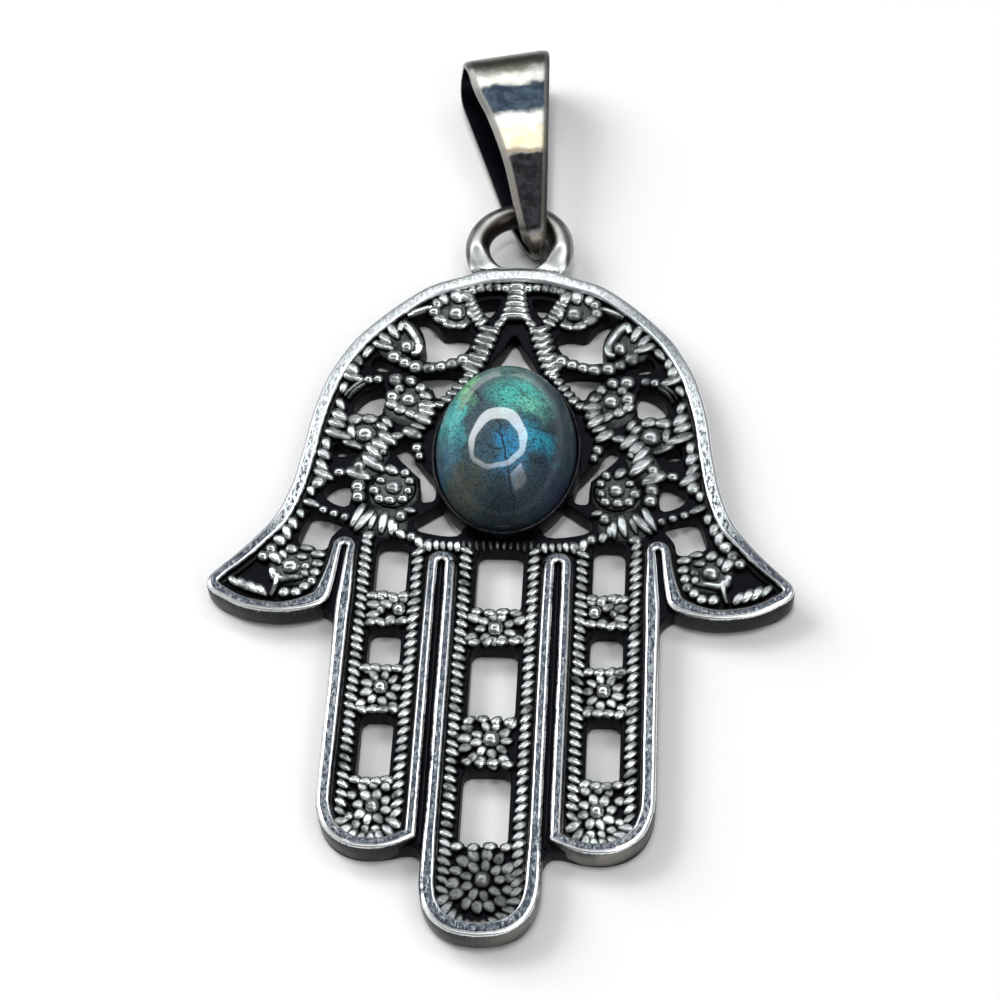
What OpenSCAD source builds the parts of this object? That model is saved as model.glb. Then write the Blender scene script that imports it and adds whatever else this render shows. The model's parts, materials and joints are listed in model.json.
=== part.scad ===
/* [Hand] */
// Width across the tips of the two thumbs
hand_w = 24; // [22:0.5:27]
// Height of the palm, from the thumb tips up to the top of the arch
palm_l = 17; // [16:0.5:19]
// Height of the finger roots above the thumb tips
root_h = 3; // [2.7:0.1:3.3]
// Length of the middle finger below its root
middle_l = 18.2; // [16.4:0.2:20]
// Length of each outer finger below its root
outer_l = 14.75; // [13:0.25:16]
// Width of the middle finger over its two rails
middle_w = 4.6; // [4.2:0.1:5.2]
// Width of an outer finger over its two rails
outer_w = 4.06; // [3.8:0.02:4.6]
// Width of the groove between two fingers
groove_w = 0.2; // [0.15:0.05:0.35]
// Width of the raised rim round the palm and of the fingers' rails
rim_w = 0.5; // [0.4:0.05:0.6]
// Radius of the web that fills the notch where two fingers part
web_r = 0.5; // [0.3:0.05:0.7]
// Drop from the finger roots to the top of the hairpin between two fingers
inner_hairpin_drop = 1.1; // [0.8:0.05:1.3]
// Drop from the finger roots to the top of the hairpin beside a thumb
outer_hairpin_drop = 0.45; // [0.3:0.05:0.6]

/* [Thickness] */
// Full thickness of the casting, at the rim
rim_t = 1.3; // [1.2:0.1:1.8]
// Thickness of the sunk plate that carries the relief
bed_t = 0.9; // [0.7:0.05:1]
// Height of ropes, leaves and petals above the plate
relief_h = 0.25; // [0.15:0.05:0.35]
// Height of the narrow step along the foot of the rim
step_h = 0.15; // [0.1:0.05:0.2]
// Width of that step
step_w = 0.12; // [0.08:0.02:0.18]
// Depth of the grooves between the fingers and of the blind pits in the thumbs
pit_d = 0.55; // [0.3:0.05:0.6]

/* [Relief] */
// Width of the rope lines
rope_w = 0.42; // [0.3:0.02:0.5]
// Distance from one twist of a string to the next
twist_pitch = 0.75; // [0.6:0.05:0.9]
// Clear distance from a rail to the rope beside it
rope_inset = 0.2; // [0.1:0.05:0.3]
// Clear distance from a rope to the edge of a finger's gap
gap_inset = 0.2; // [0.1:0.05:0.3]
// Radius to which the corners of the gaps are rounded
gap_corner = 0.15; // [0.1:0.05:0.2]
// Radius of the bead in the middle of a flower
bead_r = 0.27; // [0.2:0.01:0.32]
// Radius from a flower's middle to its petals
petal_ring = 0.66; // [0.55:0.01:0.75]

/* [Stone] */
// Length of the oval stone
stone_l = 8.1; // [7:0.1:9]
// Width of the oval stone
stone_w = 5.9; // [5:0.1:7]
// Height of the stone from its flat back to the top of its dome
stone_h = 3.4; // [2.5:0.1:4]
// Height of the straight girdle
girdle_h = 0.6; // [0.4:0.1:1]
// Height of the stone's centre above the thumb tips
stone_y = 6.85; // [6.5:0.05:7.2]
// Gap between the stone and its setting
stone_gap = 0.05; // [0.03:0.01:0.1]
// Wall of the setting
bezel_w = 0.22; // [0.2:0.02:0.4]
// How far the setting's lip stands above the girdle
lip_h = 0.1; // [0:0.05:0.2]

/* [Ring and bail] */
// Hole of the top ring
ring_hole = 2.8; // [2.6:0.1:3.2]
// Wire of the top ring
ring_wire = 1; // [0.8:0.05:1]
// Height of the ring's wire above the back of the casting
ring_lift = 1.15; // [1.15:0.05:1.3]
// How far the ring's centre stands above the top of the arch
ring_rise = 1.35; // [1.1:0.05:1.5]
// Length of the bail between the centres of its two bends
bail_l = 9.2; // [8:0.2:11]
// Width of the bail at its top bend
bail_w = 3.7; // [3:0.1:4]
// Width of the bail at its lower end
bail_tip_w = 1.1; // [0.8:0.05:1.2]
// Thickness of the bail's strap
bail_t = 0.3; // [0.25:0.05:0.4]
// Inner radius of the bail's top bend, which takes the chain
bail_bend_r = 1.2; // [1:0.1:1.5]
// Gap between the bail's strap and the ring's wire, at its narrowest
bail_gap = 0.18; // [0.14:0.02:0.2]
// How far the bail's lower bend lies above the middle of the ring's hole
bail_drop = 0.4; // [0.2:0.05:0.5]
// How far the bail lies to the side in the ring
bail_side = 0.52; // [0.3:0.02:0.6]
// Turn of the bail about the upright axis, as it lies
bail_yaw = 10; // [4:1:12]
// Roll of the bail about its own length, as it lies
bail_roll = 8; // [0:1:8]

/* [Hidden] */

$fn = 24;
half_w = hand_w / 2;

// Each finger: half its width, the half width of its sunk field, and the centre of its round end
middle_half = middle_w / 2;
outer_half = outer_w / 2;
middle_field = middle_half - rim_w;
outer_field = outer_half - rim_w;
outer_x = middle_half + groove_w + outer_half;
middle_end = root_h - middle_l + middle_half;
outer_end = root_h - outer_l + outer_half;

// The hairpins in which the rails of two neighbours meet at the finger roots
groove_x = middle_half + groove_w / 2;
hairpin_r = rim_w + groove_w / 2;
inner_hairpin_y = root_h - inner_hairpin_drop - hairpin_r;
outer_hairpin_x = outer_x + outer_half;
outer_hairpin_y = root_h - outer_hairpin_drop - hairpin_r;

// Floor and lip of the stone's setting
seat_z = bed_t + stone_gap;
lip_z = seat_z + girdle_h + lip_h;

// Ring and bail: the strap is half_strap_w to each side where it passes the ring's wire, and its
// loop clears the wire by bail_gap there, although it is rolled
ring_r = (ring_hole + ring_wire) / 2;
ring_y = palm_l + ring_rise;
bail_foot_y = ring_y + bail_drop;
foot_to_wire = ring_r - bail_drop;
half_strap_w = (bail_tip_w + (bail_w - bail_tip_w) * (foot_to_wire + bail_tip_w / 2) / bail_l) / 2;
wire_reach = ring_wire / 2 + bail_gap + half_strap_w * sin(bail_roll);
foot_r = wire_reach - (bail_bend_r - wire_reach) * foot_to_wire / (bail_l - foot_to_wire);
floor_gap = 0.02;
top_reach = (bail_bend_r + bail_t) * cos(bail_roll) + bail_w / 2 * sin(bail_roll);
bail_pitch = asin(max(0, top_reach + floor_gap - ring_lift) / bail_l);

// How finely overlapping outlines are merged, and how far the relief stays clear of an edge
merge = 0.001;
edge_gap = 0.03;
// Relief reaches this far into the plate that carries it
root_t = 0.15;

// Outer edge of one half of the palm, from the top of the arch to the thumb's tip, and the edge under the
// thumb from its tip to the finger: [percent of the half width, percent of the palm's height]
palm_edge = [
    [0, 100], [11, 99.3], [21.5, 97.2], [33, 93.3], [44, 87], [53.5, 79.8], [61.5, 71],
    [67, 62], [70.7, 50], [73.2, 37], [76.8, 26], [83.5, 15.5], [92, 7.5], [100, 0.6]
];
thumb_edge = [[100, 0.6], [96.5, -2.9], [90, -5.3], [80, -6.8], [70, -6.5], [62, -5], [54, -2.4]];

// Gaps of the openwork in one half of the palm, corner by corner, in the same percents. Gaps beside
// the stone run on under its setting, so the setting's own edge closes them.
palm_gaps = [
    [[4.8, 93], [15.5, 91.8], [14, 87.5], [9.8, 83.5], [6.6, 87]],
    [[15, 80], [20, 81.5], [26, 81], [30, 84.5], [34, 86.2], [37.5, 84.5], [34, 79.5], [32.5, 75],
        [34.5, 71.5], [30, 70.2], [24, 70.4], [18.5, 73], [15.5, 76]],
    [[41, 67.5], [44.5, 73], [50, 74.5], [53.5, 70.5], [52.5, 67], [44, 66]],
    [[17, 67], [19, 67.8], [25, 68.4], [34.5, 67.4], [31.5, 63.5], [26, 58.8], [19, 62]],
    [[44, 63], [51, 62.8], [57.5, 58.5], [58.5, 54.5], [56.5, 53], [45.5, 53]],
    [[36, 54], [41.5, 53.8], [43, 50.5], [37.5, 49]],
    [[54.5, 43.5], [59, 46.5], [62.5, 44.5], [62.3, 40], [56.5, 39.5]],
    [[41, 43.5], [36, 46.5], [29.5, 44.5], [24, 41], [20, 34], [21, 28.6], [29, 28.2], [30, 32],
        [33, 36], [37.5, 39.5]],
    [[54, 34], [61, 34.2], [65.5, 30], [59, 26.2], [54, 25.6]],
    [[54.5, 20.5], [57, 22.6], [66, 24], [68.5, 21], [70.2, 15], [66.5, 13], [60.5, 12.4], [58.8, 16]],
    [[15.5, 17], [28, 18], [31, 21], [27, 23.6], [19, 27], [14, 22]]
];
// The gap between the two legs of the strap above the stone, in one half
apex_gap = [[0, 83], [5, 76.5], [11.5, 70], [12, 62], [0, 62]];
// The blind pit in a thumb
thumb_pit = [[78, 2.5], [81, 1.5], [87.5, 3], [86, 7], [79.5, 8.5]];

// Gaps down a finger: [top, bottom] as percents of its length below its root
middle_gaps = [[4, 21], [30, 48.5], [60.5, 78.8]];
outer_gaps = [[2, 21], [31, 44], [58.6, 78.3]];

// Flowers of one half of the palm: [percent of half width, percent of palm height, petals, size]
palm_flowers = [
    [20.8, 84.6, 7, 1], [38.5, 74.4, 5, 0.75], [36, 57, 7, 0.95], [50.5, 46.7, 7, 0.95],
    [39, 29.9, 8, 1.25], [71.7, 6.2, 7, 1.05]
];
// Flowers down a finger: [percent of the finger's half width from its middle, percent of its length, petals, size]
middle_flowers = [[0, 25.7, 7, 0.85], [4, 54.2, 7, 0.85], [4, 87.2, 8, 1.1]];
outer_flowers = [[-25, 26.3, 7, 0.8], [-6, 51.6, 7, 1], [-17, 86.6, 7, 1]];

// Twisted strings of one half of the palm: [width as a share of a rope's, points in percents]
palm_strings = [
    [1.15, [[0, 97], [0, 86]]],
    [1.25, [[1.5, 88], [5, 82.5], [9, 78.5], [12, 73.5], [14.2, 68.5]]],
    [1.1, [[17.8, 92], [15, 86.5], [11.5, 80.5]]],
    [1, [[43.5, 72.5], [38.5, 69.4], [33, 68.6], [27, 68.4], [22, 70], [17, 71.8]]],
    [0.9, [[54, 65], [48.5, 65], [43, 65]]],
    [1, [[49.5, 42], [45.5, 38.8], [52, 36.8]]],
    [1, [[62, 36.6], [57, 36.6], [52, 34.5], [50.8, 29.5], [50.6, 26]]],
    [0.9, [[66.5, 25.5], [62, 24.2], [58, 23.2], [54, 22]]],
    [1.2, [[50, 21], [45.5, 20.5], [41, 20.3], [36, 21.5]]],
    [0.9, [[36, 24.2], [30, 25.8], [25, 26.3]]],
    [1, [[36, 17], [31, 15.8], [26, 14.6], [20, 14.5], [14, 14.5], [8, 14.5], [0, 14.5]]],
    [1, [[38, 50], [33.5, 48], [30.5, 44]]],
    [1, [[79, 8.5], [76, 12], [73.5, 16]]]
];

function on_palm(p) = [p[0] / 100 * half_w, p[1] / 100 * palm_l];
function down_finger(percent, len) = root_h - percent / 100 * len;
function corners(list) = [for (p = list) on_palm(p)];

// A smooth curve through a few points, with n steps between each two
function blend(a, b, c, d, t) =
    0.5 * (2 * b + (c - a) * t + (2 * a - 5 * b + 4 * c - d) * t * t + (3 * b - a - 3 * c + d) * t * t * t);
function smooth(p, n) = [
    for (i = [0 : len(p) - 2])
        for (k = [0 : n - 1])
            blend(i == 0 ? 2 * p[0] - p[1] : p[i - 1], p[i], p[i + 1],
                i + 2 < len(p) ? p[i + 2] : 2 * p[i + 1] - p[i], k / n),
    p[len(p) - 1]
];

// Length of a path, and the place at a distance along it as [x, y, heading]
function path_len(p, i = 0) = i >= len(p) - 1 ? 0 : norm(p[i + 1] - p[i]) + path_len(p, i + 1);
function along(p, s, i = 0) =
    let (step = p[i + 1] - p[i], d = norm(step))
    s <= d || i >= len(p) - 2
        ? [p[i][0] + step[0] * s / d, p[i][1] + step[1] * s / d, atan2(step[1], step[0])]
        : along(p, s - d, i + 1);

module both_sides() {
    children();
    mirror([1, 0]) children();
}

// Makes all the outlines inside it one
module merged() {
    offset(delta = merge) children();
}

module rounded(r) {
    offset(r = r, $fn = 8) offset(delta = -r) children();
}

module finger2d(x, half, end_y) {
    translate([x, end_y]) circle(half);
    translate([x - half, end_y]) square([2 * half, root_h - end_y]);
}

module palm2d() {
    edge = concat(smooth(corners(palm_edge), 3), smooth(corners(thumb_edge), 2));
    both_sides() polygon(concat(edge, [[0, edge[len(edge) - 1][1]]]));
}

module silhouette2d() {
    offset(delta = -web_r) offset(r = web_r) {
        palm2d();
        finger2d(0, middle_half, middle_end);
        both_sides() finger2d(outer_x, outer_half, outer_end);
    }
}

// The ground of the rails between two fingers, with its round top
module inner_hairpin2d() {
    translate([groove_x, inner_hairpin_y]) circle(hairpin_r);
    translate([groove_x - hairpin_r, root_h - outer_l]) square([2 * hairpin_r, outer_l - root_h + inner_hairpin_y]);
}

// The ground of the rails between an outer finger and the thumb, which spreads into the thumb's rim
module outer_hairpin2d() {
    foot_y = thumb_edge[len(thumb_edge) - 1][1] / 100 * palm_l;
    translate([outer_hairpin_x, outer_hairpin_y]) circle(hairpin_r);
    polygon([
        [outer_hairpin_x - hairpin_r, outer_hairpin_y], [outer_hairpin_x + hairpin_r, outer_hairpin_y],
        [outer_hairpin_x + 1.3 * hairpin_r, outer_hairpin_y / 2],
        [outer_hairpin_x + 2.2 * hairpin_r, foot_y + rim_w], [outer_hairpin_x - hairpin_r, foot_y - rim_w]
    ]);
}

// The sunk fields inside the rim and the rails
module fields2d() {
    difference() {
        union() {
            offset(delta = -rim_w) palm2d();
            finger2d(0, middle_field, middle_end);
            both_sides() finger2d(outer_x, outer_field, outer_end);
        }
        both_sides() {
            inner_hairpin2d();
            outer_hairpin2d();
        }
    }
}

module groove2d(x, top_y, end_y) {
    for (y = [top_y, end_y]) translate([x, y]) circle(groove_w / 2);
    translate([x - groove_w / 2, end_y]) square([groove_w, top_y - end_y]);
}

module pits2d() {
    both_sides() {
        groove2d(groove_x, inner_hairpin_y, outer_end - outer_half + web_r + rim_w);
        groove2d(outer_hairpin_x, outer_hairpin_y, 0);
        rounded(gap_corner) polygon(corners(thumb_pit));
    }
}

module finger_gaps2d(x, field, length, gaps) {
    side = field - rope_inset - rope_w - gap_inset;
    for (g = gaps)
        translate([x - side, down_finger(g[1], length)])
            square([2 * side, (g[1] - g[0]) / 100 * length]);
}

module gaps2d() {
    rounded(gap_corner) {
        both_sides() {
            for (gap = palm_gaps) polygon(corners(gap));
            polygon(corners(apex_gap));
            finger_gaps2d(outer_x, outer_field, outer_l, outer_gaps);
        }
        finger_gaps2d(0, middle_field, middle_l, middle_gaps);
    }
}

// A twisted string: one slanting lobe for each twist
module string2d(path, w) {
    twists = round(path_len(path) / twist_pitch);
    for (k = [0 : twists]) {
        at = along(path, k * path_len(path) / twists);
        translate([at[0], at[1]]) rotate(at[2] + 20) scale([twist_pitch * 0.66, w * 0.54]) circle(1, $fn = 6);
    }
}

module finger_rope2d(x, field, end_y) {
    difference() {
        finger2d(x, field - rope_inset, end_y);
        finger2d(x, field - rope_inset - rope_w, end_y);
        translate([x - field, root_h - rope_w]) square([2 * field, rope_w]);
    }
}

module border_rope2d() {
    difference() {
        offset(delta = -rim_w - rope_inset) palm2d();
        offset(delta = -rim_w - rope_inset - rope_w) palm2d();
        translate([-half_w, root_h / 2 - palm_l]) square([hand_w, palm_l]);
    }
}

module flower2d(petals, size) {
    r = petal_ring * size;
    circle(r);
    for (k = [0 : petals - 1])
        rotate((k + 0.5) * 360 / petals) translate([r, 0]) circle(1.1 * r * sin(180 / petals), $fn = 6);
}

// Sets what it is given on the middle of each flower of the hand, with its petals and its size
module at_flowers() {
    for (side = [-1, 1]) {
        for (f = palm_flowers) {
            $petals = f[2];
            $size = f[3];
            translate([side * on_palm(f)[0], on_palm(f)[1]]) children();
        }
        for (f = outer_flowers) {
            $petals = f[2];
            $size = f[3];
            translate([side * (outer_x + f[0] / 100 * outer_half), down_finger(f[1], outer_l)]) children();
        }
    }
    for (f = middle_flowers) {
        $petals = f[2];
        $size = f[3];
        translate([f[0] / 100 * middle_half, down_finger(f[1], middle_l)]) children();
    }
}

module relief2d() {
    merged() difference() {
        intersection() {
            union() {
                border_rope2d();
                finger_rope2d(0, middle_field, middle_end);
                both_sides() {
                    finger_rope2d(outer_x, outer_field, outer_end);
                    for (s = palm_strings) string2d(smooth(corners(s[1]), 2), rope_w * s[0]);
                }
                at_flowers() flower2d($petals, $size);
            }
            offset(delta = -edge_gap) fields2d();
        }
        offset(delta = edge_gap) gaps2d();
    }
}

module plate() {
    difference() {
        linear_extrude(rim_t) merged() difference() {
            silhouette2d();
            gaps2d();
        }
        translate([0, 0, bed_t + step_h]) linear_extrude(rim_t) merged() fields2d();
        translate([0, 0, bed_t]) linear_extrude(rim_t) offset(delta = -step_w) fields2d();
        translate([0, 0, rim_t - pit_d]) linear_extrude(rim_t) merged() pits2d();
    }
}

module stone_oval2d(extra) {
    offset(delta = extra) scale([1, stone_l / stone_w]) circle(stone_w / 2, $fn = 72);
}

module setting() {
    translate([0, stone_y, 0]) difference() {
        linear_extrude(lip_z) stone_oval2d(stone_gap + bezel_w);
        translate([0, 0, bed_t]) linear_extrude(lip_z) stone_oval2d(stone_gap);
    }
}

// The ring's wire ends in the wall of the arch
module top_ring() {
    foot_y = palm_l - rim_w * 0.7;
    difference() {
        translate([0, ring_y, ring_lift]) rotate_extrude() translate([ring_r, 0]) circle(ring_wire / 2);
        translate([-half_w, foot_y - hand_w, -rim_t]) cube([hand_w, hand_w, 4 * rim_t]);
    }
}

module hand_casting() {
    color([0.52, 0.53, 0.55]) translate([0, -stone_y, 0]) {
        plate();
        translate([0, 0, bed_t - root_t]) linear_extrude(relief_h + root_t) relief2d();
        at_flowers() translate([0, 0, bed_t + relief_h / 2]) sphere(bead_r);
        setting();
        top_ring();
    }
}

// The dome is an ellipsoid a little wider than the girdle, so that it meets the girdle at girdle_h
module cabochon() {
    spread = 1 / sqrt(1 - pow(girdle_h / stone_h, 2));
    color([0.2, 0.45, 0.5]) translate([0, 0, seat_z]) intersection() {
        scale([stone_w / 2, stone_l / 2, 1]) cylinder(r = 1, h = stone_h);
        scale([spread * stone_w / 2, spread * stone_l / 2, stone_h]) sphere(1);
    }
}

// The strap's loop seen from its side, its foot at the origin and its top bend at bail_l
module bail_loop2d(extra) {
    hull() {
        circle(foot_r + extra);
        translate([bail_l, 0]) circle(bail_bend_r + extra);
    }
}

// The strap seen from its front: narrow and round at the foot, wide at the top bend
module bail_plan2d() {
    top_y = bail_l + bail_bend_r + bail_t;
    hull() {
        translate([0, bail_tip_w / 2 - foot_r - bail_t]) circle(bail_tip_w / 2);
        for (side = [-1, 1]) translate([side * (bail_w / 2 - bail_t), top_y - bail_t]) circle(bail_t);
    }
}

module bail() {
    color([0.45, 0.45, 0.44])
        translate([bail_side, bail_foot_y - stone_y, ring_lift])
        rotate([0, 0, bail_yaw]) rotate([bail_pitch, 0, 0]) rotate([0, bail_roll, 0])
        intersection() {
            rotate([90, 0, 90]) linear_extrude(2 * bail_w, center = true) difference() {
                bail_loop2d(bail_t);
                bail_loop2d(0);
            }
            linear_extrude(4 * bail_w, center = true) bail_plan2d();
        }
}

hand_casting();
cabochon();
bail();
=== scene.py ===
# %% [markdown]
# # An openwork hand pendant in oxidised silver
#
# The pendant is a flat cast hand with three fingers and two curled thumbs, pierced all over, with an
# oval labradorite set in the palm. A ring is soldered to its top, and a folded strap, the bail,
# hangs in that ring and takes the chain. It lies on its back on a white table.
#
# The imported model is loaded first, as a fixed frame that everything else is fitted to.

# %% Load the frame
import json
import math
import random
from contextlib import contextmanager

import bpy
from mathutils import Matrix, Vector

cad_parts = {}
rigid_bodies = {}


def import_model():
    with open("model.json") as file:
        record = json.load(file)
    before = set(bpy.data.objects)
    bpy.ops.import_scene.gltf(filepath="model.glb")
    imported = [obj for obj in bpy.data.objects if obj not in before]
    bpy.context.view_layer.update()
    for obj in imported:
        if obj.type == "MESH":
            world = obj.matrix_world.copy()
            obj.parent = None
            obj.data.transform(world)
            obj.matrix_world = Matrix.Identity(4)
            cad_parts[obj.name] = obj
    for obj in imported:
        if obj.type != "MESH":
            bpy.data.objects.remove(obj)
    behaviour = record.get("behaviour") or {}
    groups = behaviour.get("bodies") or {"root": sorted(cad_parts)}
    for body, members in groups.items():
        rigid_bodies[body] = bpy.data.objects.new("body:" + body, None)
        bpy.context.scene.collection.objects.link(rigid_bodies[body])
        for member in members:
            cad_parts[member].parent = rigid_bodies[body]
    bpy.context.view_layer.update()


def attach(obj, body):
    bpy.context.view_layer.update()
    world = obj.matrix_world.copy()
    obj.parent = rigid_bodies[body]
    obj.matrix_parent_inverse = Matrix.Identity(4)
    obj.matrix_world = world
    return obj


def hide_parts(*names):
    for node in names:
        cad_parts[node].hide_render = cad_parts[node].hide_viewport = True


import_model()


# %% [markdown]
# ## Measures
#
# A pendant is measured in millimetres and Blender works in metres, so lengths are written in
# millimetres and multiplied by MM. Heights count from the table. Places along the hand are written
# from the line through the two thumb tips, which is how the hand was measured, and `THUMB_LINE`
# moves them to the frame, whose origin lies under the middle of the stone.

# %% Measures shared by many pieces
MM = 0.001
THUMB_LINE = -6.85      # y of the thumb tips' line in the frame
BED_TOP = 0.9           # top of the sunk ground that carries the relief
MIDDLE_FINGER_X = 0
OUTER_FINGER_X = 4.45
INNER_GROOVE_X = 2.385  # middle of the groove between two fingers
OUTER_GROOVE_X = 6.43   # middle of the groove between a finger and the thumb
STONE = {"half_w": 2.95, "half_l": 4.05, "seat": 0.95, "height": 3.4, "girdle": 0.6}
dice = random.Random(11)


def wobble(amount):
    """A small random amount, the same in each run."""
    return dice.uniform(-amount, amount)


def along_hand(y):
    """A place along the hand, from the thumb line in millimetres, as a place in the frame."""
    return (y + THUMB_LINE) * MM


print("stone in mm:", STONE)

# %% [markdown]
# ## Working with given curves
#
# Most of this casting follows free curves: the arch of the palm, the rails, the strings of beads.
# Each is given by a few measured points. `smooth` draws the curve through them, and `evenly` walks
# along it in equal steps, as one sets beads on a string.

# %% Curves through measured points
def smooth(points, steps, closed=False):
    """Catmull-Rom curve through points of any number of coordinates."""
    n = len(points)
    out = []
    for i in range(n if closed else n - 1):
        a, b, c, d = (points[(i + k) % n if closed else min(max(i + k, 0), n - 1)] for k in (-1, 0, 1, 2))
        for t in [k / steps for k in range(steps)]:
            out.append(tuple(
                0.5 * (2 * q + (r - p) * t + (2 * p - 5 * q + 4 * r - s) * t * t
                       + (3 * q - p - 3 * r + s) * t ** 3)
                for p, q, r, s in zip(a, b, c, d)
            ))
    return out if closed else out + [tuple(points[-1])]


def evenly(points, step):
    """Places along a path at equal distances near step, as (x, y, heading in degrees)."""
    lengths = [math.dist(a[:2], b[:2]) for a, b in zip(points, points[1:])]
    total = sum(lengths)
    count = max(1, round(total / step))
    out, i, passed = [], 0, 0.0
    for k in range(count + 1):
        at = total * k / count
        while i < len(lengths) - 1 and passed + lengths[i] < at:
            passed += lengths[i]
            i += 1
        t = (at - passed) / max(lengths[i], 1e-9)
        a, b = points[i], points[i + 1]
        heading = math.degrees(math.atan2(b[1] - a[1], b[0] - a[0]))
        out.append((a[0] + (b[0] - a[0]) * t, a[1] + (b[1] - a[1]) * t, heading))
    return out


def arc(x, y, radius, start, end, steps):
    """Points on an arc, angles in degrees."""
    turn = [math.radians(start + (end - start) * k / steps) for k in range(steps + 1)]
    return [(x + radius * math.cos(a), y + radius * math.sin(a)) for a in turn]


def mirrored(points):
    """The same path on the other side of the hand, walked the other way."""
    return [(-p[0],) + tuple(p[1:]) for p in reversed(points)]


print("a quarter circle in 3 steps:", [(round(x, 2), round(y, 2)) for x, y in arc(0, 0, 1, 0, 90, 3)])

# %% [markdown]
# ## Helpers for the modelling tools
#
# Blender's operators work on whatever is selected, and the frame arrives selected. So each piece
# starts from `start_clean`. `finish_piece` moves a finished object's place into its mesh, gives it
# smooth shading with crisp edges and its material, and lets it ride on the pendant's one body.

# %% Selecting and editing
def start_clean():
    """Leaves edit mode and selects nothing."""
    if bpy.context.object and bpy.context.object.mode != "OBJECT":
        bpy.ops.object.mode_set(mode="OBJECT")
    bpy.ops.object.select_all(action="DESELECT")


def only(obj):
    """Makes obj the one selected and active object."""
    start_clean()
    obj.select_set(True)
    bpy.context.view_layer.objects.active = obj


@contextmanager
def editing(obj, wanted=None):
    """Edit mode with all of obj selected, or only the points that wanted says yes to."""
    only(obj)
    bpy.ops.object.mode_set(mode="EDIT")
    bpy.ops.mesh.select_mode(type="VERT")
    bpy.ops.mesh.select_all(action="DESELECT" if wanted else "SELECT")
    if wanted:
        bpy.ops.object.mode_set(mode="OBJECT")
        for v in obj.data.vertices:
            v.select = wanted(v.co)
        bpy.ops.object.mode_set(mode="EDIT")
    yield
    bpy.ops.object.mode_set(mode="OBJECT")


def tidy_mesh(obj):
    """Merges doubles and turns the faces outwards."""
    with editing(obj):
        bpy.ops.mesh.remove_doubles(threshold=0.002 * MM)
        bpy.ops.mesh.normals_make_consistent(inside=False)


def place_into_mesh(obj):
    """Moves an object's place, turn and size into its mesh, so that it stands at the origin."""
    only(obj)
    bpy.ops.object.transform_apply(location=True, rotation=True, scale=True)


print("selected on arrival:", [o.name for o in bpy.data.objects if o.select_get()])

# %% Making and finishing a piece
def in_scene(name, data):
    """A new object in the scene."""
    obj = bpy.data.objects.new(name, data)
    bpy.context.scene.collection.objects.link(obj)
    return obj


def new_mesh(points, faces, **attributes):
    """A mesh from points in millimetres. An attribute holds one value for each point."""
    mesh = bpy.data.meshes.new("piece")
    mesh.from_pydata([(x * MM, along_hand(y), z * MM) for x, y, z in points], [], faces)
    for name, values in attributes.items():
        mesh.attributes.new(name, "FLOAT", "POINT").data.foreach_set("value", values)
    mesh.update()
    return in_scene("piece", mesh)


def finish_piece(obj, name, material, angle=40, stands_for=()):
    """Names a piece, gives it its finish, and keeps edges sharper than angle in degrees crisp."""
    place_into_mesh(obj)
    obj.name = name
    obj.data.name = name
    bpy.ops.object.shade_smooth_by_angle(angle=math.radians(angle))
    obj.data.materials.clear()
    obj.data.materials.append(material)
    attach(obj, "root")
    if stands_for:
        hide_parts(*stands_for)
    print(f"{name}: {sum(len(p.vertices) - 2 for p in obj.data.polygons)} triangles")


# %% [markdown]
# ## The camera
#
# The photograph looks down at the table at about 55 degrees, a little from the right, through a
# fairly long lens. The camera's place was found by matching mirrored pairs of points on the hand.

# %% Camera
camera_data = bpy.data.cameras.new("camera")
camera_data.lens = 90
camera_data.sensor_width = 36
camera_data.clip_start = 0.002
camera_data.clip_end = 5
camera = in_scene("camera", camera_data)
camera_turn = (
    Matrix.Rotation(math.radians(4.872), 4, "Y")
    @ Matrix.Rotation(math.radians(35.0), 4, "X")
    @ Matrix.Rotation(math.radians(3.691), 4, "Z")
)
camera.matrix_world = Matrix.Translation(Vector((7.055, -61.766, 85.732)) * MM) @ camera_turn
bpy.context.scene.camera = camera
print("camera at", [round(v / MM, 1) for v in camera.matrix_world.translation], "mm")

# %% [markdown]
# ## Finishes as sums
#
# A finish is worked out from a few values: the place on the piece, some noise, an attribute of the
# mesh. Blender does that with small nodes linked to each other. `Value` stands for one output of a
# node, and adding, subtracting, multiplying or dividing two of them makes the node that does it. So a
# finish reads like a sum: `fine * 0.3` is a Math node set to Multiply.

# %% Values in a node tree
class Value:
    """An output of a node: a number, a colour or a place that changes over the surface."""

    def __init__(self, socket):
        self.socket = socket
        self.tree = socket.id_data

    def other(self, name):
        """Another output of the same node."""
        return Value(self.socket.node.outputs[name])

    def clamped(self):
        """The same number, kept between 0 and 1."""
        self.socket.node.use_clamp = True
        return self

    def __add__(self, number):
        return maths("ADD", self, number)

    def __sub__(self, number):
        return maths("SUBTRACT", self, number)

    def __rsub__(self, number):
        return maths("SUBTRACT", number, self)

    def __mul__(self, number):
        return maths("MULTIPLY", self, number)

    def __truediv__(self, number):
        return maths("DIVIDE", self, number)


def feed(socket, value):
    """Links a value to an input, or sets a plain number, vector or colour on it."""
    if isinstance(value, Value):
        value.tree.links.new(value.socket, socket)
    else:
        socket.default_value = (*value, 1) if socket.type == "RGBA" and len(value) == 3 else value


def add_node(kind, inputs, output=0, tree=None, **settings):
    """Adds a node to the tree that its inputs come from. Inputs go by name or number."""
    tree = tree or next(v.tree for v in inputs.values() if isinstance(v, Value))
    node = tree.nodes.new("ShaderNode" + kind)
    for key, value in settings.items():
        setattr(node, key, value)
    for key, value in inputs.items():
        feed(node.inputs[key], value)
    return Value(node.outputs[output])


def maths(operation, *values):
    return add_node("Math", dict(enumerate(values)), operation=operation)


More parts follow.
